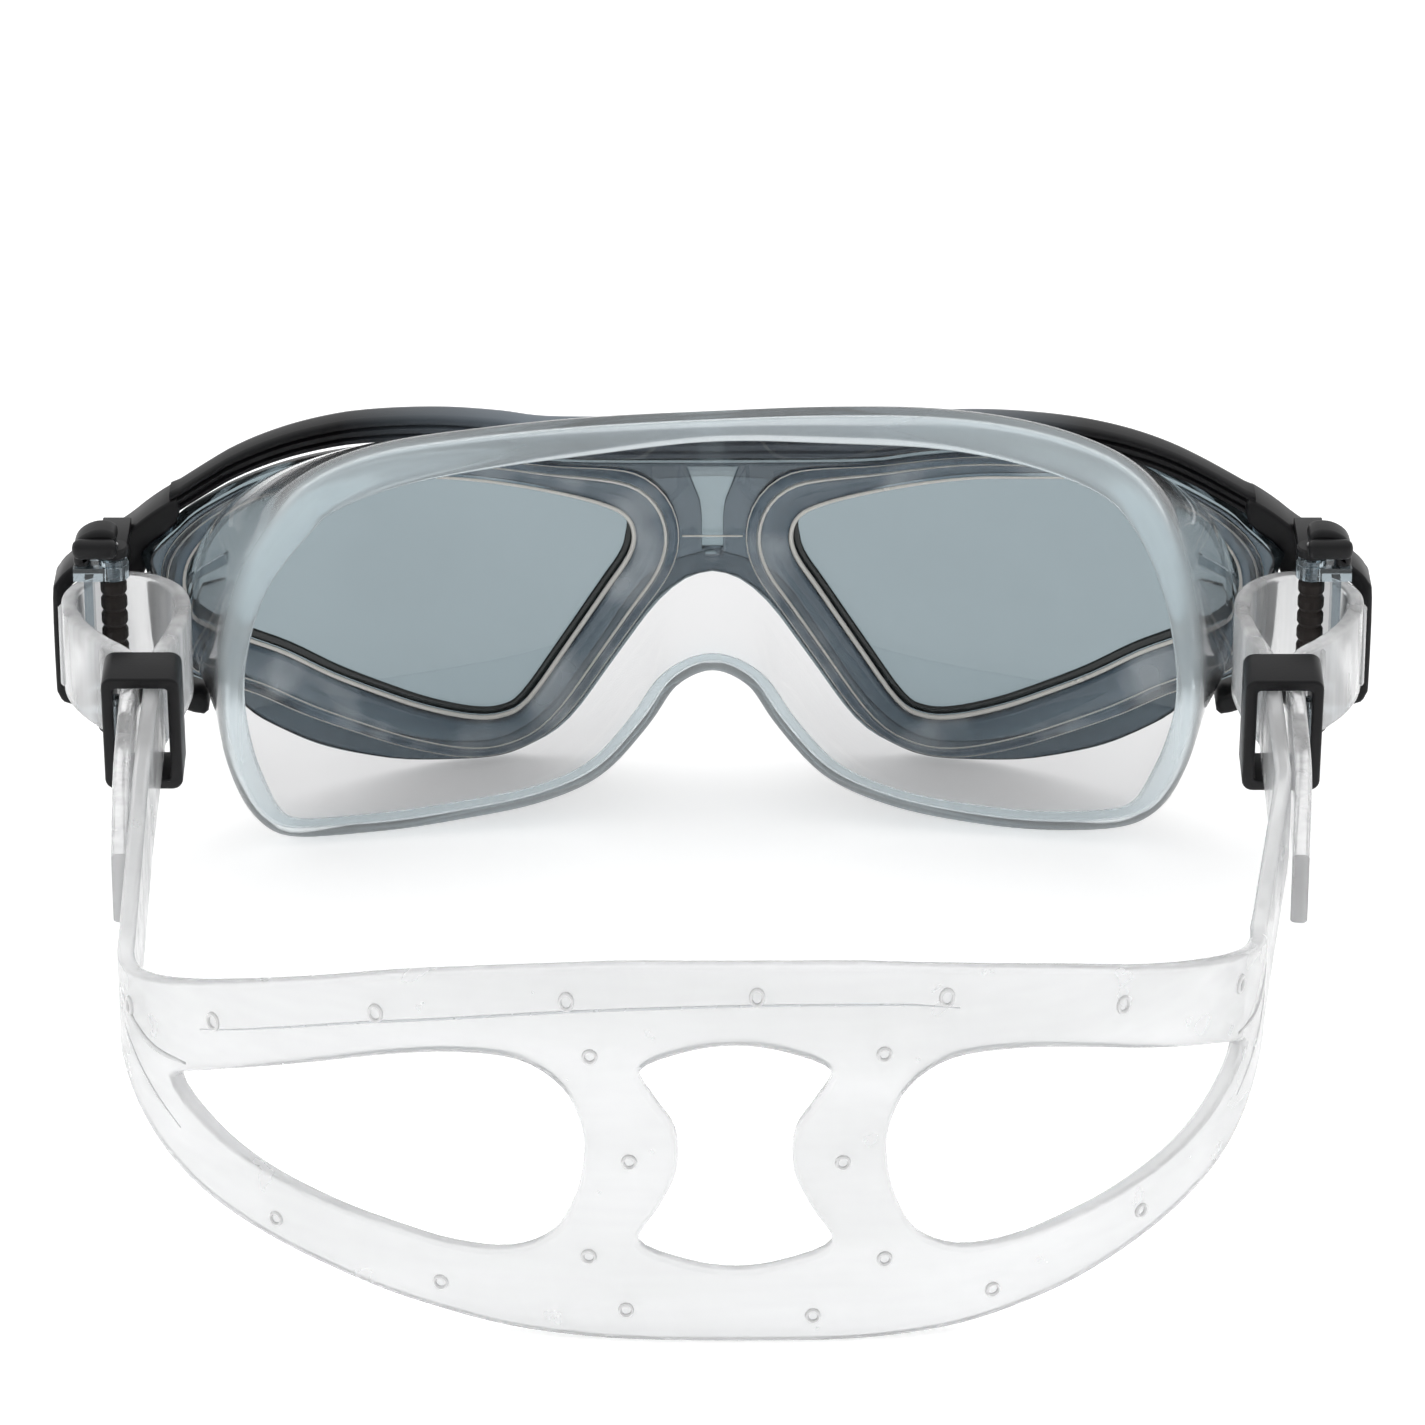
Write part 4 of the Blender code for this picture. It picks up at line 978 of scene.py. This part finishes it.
def strap_ridge(bm, line, radius):
    """A slim ridge laid along a line on the outer face of the strap, thinning out at both ends."""
    points = smooth(line, 6)
    rows = []
    for number, (along, up) in enumerate(points):
        share = math.sin(math.pi * min(max(number / (len(points) - 1), 0.03), 0.97)) ** 0.4
        row = []
        for angle in turn_points(8):
            off = STRAP_THICKNESS / 2 + 0.5 * radius * share * math.sin(angle)
            row.append(bend_round_head((along, up + radius * share * math.cos(angle), off)))
        rows.append(row)
    join(bm, capped_loft(rows))


def make_strap_ridges():
    """Fold line along the upper band, and the leaf-shaped reinforcements where the strap forks."""
    bm = bmesh.new()
    strap_ridge(bm, CREASE, CREASE_RADIUS)
    dress(finish_mesh(bm, "strap_crease", 180), LOOKS["crease_silicone"])
    bm = bmesh.new()
    for line, radius in FORK_RIDGES:
        strap_ridge(bm, line, radius)
        strap_ridge(bm, [(-s, h) for s, h in line], radius)
    dress(finish_mesh(bm, "strap_fork_ridges", 180), LOOKS["strap_silicone"])


def make_loop_ridges():
    """Upright stops and grips moulded on the outer face of each strap end."""
    for side, label in SIDES:
        path = band_path(side)
        lengths = np.concatenate([[0], np.cumsum(np.linalg.norm(np.diff(path, axis=0), axis=1))])
        slope = strap_slope(side)[1]
        bm = bmesh.new()
        for place in LOOP_RIDGES:
            spot = np.array([np.interp(place, lengths, path[:, i]) for i in range(2)])
            ahead = np.array([np.interp(place + 0.0005, lengths, path[:, i]) for i in range(2)]) - spot
            ahead /= np.linalg.norm(ahead)
            spot = spot + side * np.array([-ahead[1], ahead[0]]) * STRAP_THICKNESS / 2
            middle = STRAP_MID_AT_PIN + slope * (spot[1] - PIN_BACK)
            rows = []
            for up, share in LOOP_RIDGE_ENDS:
                radius = LOOP_RIDGE_RADIUS * share
                rows.append([(spot[0] + radius * math.cos(a), spot[1] + radius * math.sin(a), middle + up)
                             for a in turn_points(10)])
            join(bm, capped_loft(rows))
        dress(finish_mesh(bm, f"{label}_strap_grips", 60), LOOKS["loop_silicone"])


# ---- buckles and keepers

def upright(bm, back=0.0, slope=0.0, start=0.0):
    """Stands a plate up, its depth along Y, and sets it back the more the further out it is."""
    for vertex in bm.verts:
        x, up, depth = vertex.co
        vertex.co = (x, depth + back + slope * (abs(x) - start), up)


def add_post(bm, spot, radius, low, high):
    """A plain round post with a rounded edge."""
    edge = 0.12 * radius
    profile = [(radius * 0.88, low), (radius, low + edge), (radius, high - edge), (radius * 0.88, high)]
    rows = [[(spot[0] + r * math.cos(a), spot[1] + r * math.sin(a), z) for a in turn_points(32)]
            for r, z in profile]
    join(bm, capped_loft(rows))


def add_block(bm, low, high, corner=0.0002):
    """A block with rounded edges."""
    made = bmesh.new()
    bmesh.ops.create_cube(made, size=1)
    for vertex in made.verts:
        vertex.co = [a + (b - a) * (c + 0.5) for a, b, c in zip(low, high, vertex.co)]
    bmesh.ops.bevel(made, geom=made.edges[:], offset=corner, segments=3, profile=0.5, affect="EDGES")
    join(bm, made)


def make_housings():
    """Black buckle frames: a rounded C from the lens to the outer plate, with the seats of the pin."""
    for side, label in SIDES:
        outline = [(side * x, z) for x, z in smooth(HOUSING_OUTLINE, 3, closed=True)]
        bm = filled_outline([outline], -HOUSING_DEPTH / 2, HOUSING_DEPTH / 2)
        round_rim(bm, HOUSING_CORNER, 3)
        upright(bm, HOUSING_BACK, HOUSING_SLOPE, HOUSING_START)
        for low, high, radius in PIN_SEATS:
            add_post(bm, (side * PIN_OUT, PIN_BACK), radius, low, high)
            across = sorted((side * (PIN_OUT - radius + 0.0003), side * (PIN_OUT + radius - 0.0003)))
            add_block(bm, (across[0], PIN_BACK + 0.0002, low + 0.0001),
                      (across[1], SEAT_FRONT, high - 0.0001))
        across = sorted((side * (PIN_OUT - RISER_HALF), side * (PIN_OUT + RISER_HALF)))
        add_block(bm, (across[0], RISER_BACK, RISER_UP[0]), (across[1], SEAT_FRONT, RISER_UP[1]))
        dress(finish_mesh(bm, f"{label}_buckle_frame", 40), LOOKS["black_plastic"],
              replaces=[f"{label}_buckle_housing"])


def make_knobs():
    """Thumb knobs: a low box outboard with a domed head over the pin."""
    for side, label in SIDES:
        outline = [(side * (PIN_OUT + x), z) for x, z in smooth(KNOB_OUTLINE, 4, closed=True)]
        bm = filled_outline([outline], -KNOB_DEPTH / 2, KNOB_DEPTH / 2)
        round_rim(bm, KNOB_CORNER, 5)
        upright(bm, PIN_BACK)
        low, high = KNOB_APRON
        across = sorted((side * (PIN_OUT + low[0]), side * (PIN_OUT + high[0])))
        add_block(bm, (across[0], PIN_BACK + low[1], low[2]), (across[1], PIN_BACK + high[1], high[2]),
                  APRON_CORNER)
        dress(finish_mesh(bm, f"{label}_knob", 50), LOOKS["black_plastic"], f"{label}_lever",
              [f"{label}_thumb_knob"])


def rounded_box(across, tall, radius, steps=6):
    """Outline of an upright rectangle with round corners."""
    made = []
    for x, z, start in ((1, 1, 0), (-1, 1, 90), (-1, -1, 180), (1, -1, 270)):
        for step in range(steps + 1):
            angle = math.radians(start + 90 * step / steps)
            made.append((x * (across - radius) + radius * math.cos(angle),
                         z * (tall - radius) + radius * math.sin(angle)))
    return made


def make_keepers():
    """Black rectangular rings with rounded corners, and the clear half-round rib inside each."""
    across, tall = KEEPER_INSIDE
    for side, label in SIDES:
        slope = strap_slope(side)[1]
        middle = STRAP_MID_AT_PIN + slope * (KEEPER_MIDDLE - PIN_BACK)
        lean = math.atan(slope)
        ring = filled_outline([rounded_box(across + KEEPER_BAR, tall + KEEPER_BAR, KEEPER_CORNERS[0]),
                               rounded_box(across, tall, KEEPER_CORNERS[1])],
                              -KEEPER_DEPTH / 2, KEEPER_DEPTH / 2)
        round_rim(ring, KEEPER_EDGE, 3)
        rib = bmesh.new()
        add_post(rib, (side * (across - RIB_SINK), 0), RIB_RADIUS, -RIB_HALF, RIB_HALF)
        for vertex in rib.verts:
            vertex.co = (vertex.co.x, vertex.co.z, -KEEPER_DEPTH / 2 + RIB_BACK + vertex.co.y)
        for bm, name, look, stands_for in ((ring, "strap_keeper", "black_plastic", [f"{label}_keeper"]),
                                           (rib, "keeper_rib", "clear_plastic", [])):
            for vertex in bm.verts:
                x, up, depth = vertex.co
                vertex.co = (side * KEEPER_OUT + x,
                             KEEPER_MIDDLE + depth * math.cos(lean) - up * math.sin(lean),
                             middle + up * math.cos(lean) + depth * math.sin(lean))
            dress(finish_mesh(bm, f"{label}_{name}", 50), LOOKS[look], f"{label}_keeper", stands_for)


def make_lens_tabs():
    """Small clear tab and serrated strip of the skirt at the outer end of each window."""
    for side, label in SIDES:
        for name, outline, depth, look in (("skirt_tab", TAB_OUTLINE, 0.0016, "clear_plastic"),
                                           ("skirt_strip", STRIP_OUTLINE, 0.0022, "skirt_silicone")):
            bm = filled_outline([[(side * x, z) for x, z in outline]], 0.0004, depth)
            round_rim(bm, 0.0002, 2)
            lay_on_lens(bm)
            dress(finish_mesh(bm, f"{label}_{name}", 50), LOOKS[look])


# ---- carried-over nodes

def dress_nodes():
    """New materials for the CAD nodes that stay: pins, springs, rollers and clear levers."""
    looks = {"roller_pin": "steel", "ratchet_roller": "roller_plastic", "clamp_lever": "clear_plastic",
             "lever_spring": "steel"}
    for _, label in SIDES:
        for node, look in looks.items():
            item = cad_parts[f"{label}_{node}"]
            item.data.materials.clear()
            item.data.materials.append(LOOKS[look])


# ---- studio

# Soft lights: name, place, size and power; the camera, and the sky's brightness from behind the mask to ahead
LIGHTS = (("overhead", (0, 0.3, 2.2), (3.0, 3.0), 9), ("side", (-1.6, 0.4, 1.0), (1.2, 1.2), 3))
CAMERA_SPOT = (0, -0.94201, 0.50896)
CAMERA_TILT = 64
CAMERA_LENS = 187.6
SKY = {"From Min": -0.9, "From Max": 0.2, "To Min": 0.52, "To Max": 0.92}
FLOOR_GLOW = 0.40


def area(name, spot, size, power):
    """A soft rectangular light that faces the middle of the mask's floor."""
    light = bpy.data.lights.new(name, "AREA")
    light.shape = "RECTANGLE"
    light.size, light.size_y = size
    light.energy = power
    item = bpy.data.objects.new(name, light)
    item.location = spot
    item.rotation_euler = (-item.location).to_track_quat("-Z", "Y").to_euler()
    bpy.context.scene.collection.objects.link(item)


def make_studio():
    """Pale floor, a sky that is brighter ahead of the mask, two soft lights and the photo's viewpoint."""
    floor_material = bpy.data.materials.new("pale_floor")
    floor_material.use_nodes = True
    shader = floor_material.node_tree.nodes["Principled BSDF"]
    shader.inputs["Base Color"].default_value = (0.93, 0.93, 0.93, 1)
    shader.inputs["Roughness"].default_value = 0.9
    shader.inputs["Specular IOR Level"].default_value = 0.0
    shader.inputs["Emission Color"].default_value = (1, 1, 1, 1)
    shader.inputs["Emission Strength"].default_value = FLOOR_GLOW
    bm = bmesh.new()
    bmesh.ops.create_grid(bm, x_segments=1, y_segments=1, size=6)
    mesh = bpy.data.meshes.new("floor")
    bm.to_mesh(mesh)
    bm.free()
    floor = bpy.data.objects.new("floor", mesh)
    floor.location.z = -FLOOR_GAP
    mesh.materials.append(floor_material)
    bpy.context.scene.collection.objects.link(floor)
    world = bpy.data.worlds.new("studio")
    world.use_nodes = True
    tree = world.node_tree
    direction = tree.nodes.new("ShaderNodeSeparateXYZ")
    tree.links.new(tree.nodes.new("ShaderNodeTexCoord").outputs["Generated"], direction.inputs["Vector"])
    dimmer = tree.nodes.new("ShaderNodeMapRange")
    for socket, value in SKY.items():
        dimmer.inputs[socket].default_value = value
    tree.links.new(direction.outputs["Y"], dimmer.inputs["Value"])
    tree.links.new(dimmer.outputs["Result"], tree.nodes["Background"].inputs["Strength"])
    tree.nodes["Background"].inputs["Color"].default_value = (1, 1, 1, 1)
    scene = bpy.context.scene
    scene.world = world
    for name, spot, size, power in LIGHTS:
        area(name, spot, size, power)
    camera = bpy.data.cameras.new("camera")
    camera.lens = CAMERA_LENS
    camera.sensor_width = 36
    camera.clip_start = 0.01
    item = bpy.data.objects.new("camera", camera)
    item.location = CAMERA_SPOT
    item.rotation_euler = (math.radians(CAMERA_TILT), 0, 0)
    scene.collection.objects.link(item)
    scene.camera = item
    scene.view_settings.view_transform = "Standard"


make_lens()
make_brow_bar()
make_skirt()
make_frame_plate()
make_eye_rims()
make_strap()
make_nubs()
make_loops()
make_strap_ridges()
make_loop_ridges()
make_housings()
make_knobs()
make_keepers()
make_lens_tabs()
dress_nodes()
make_studio()
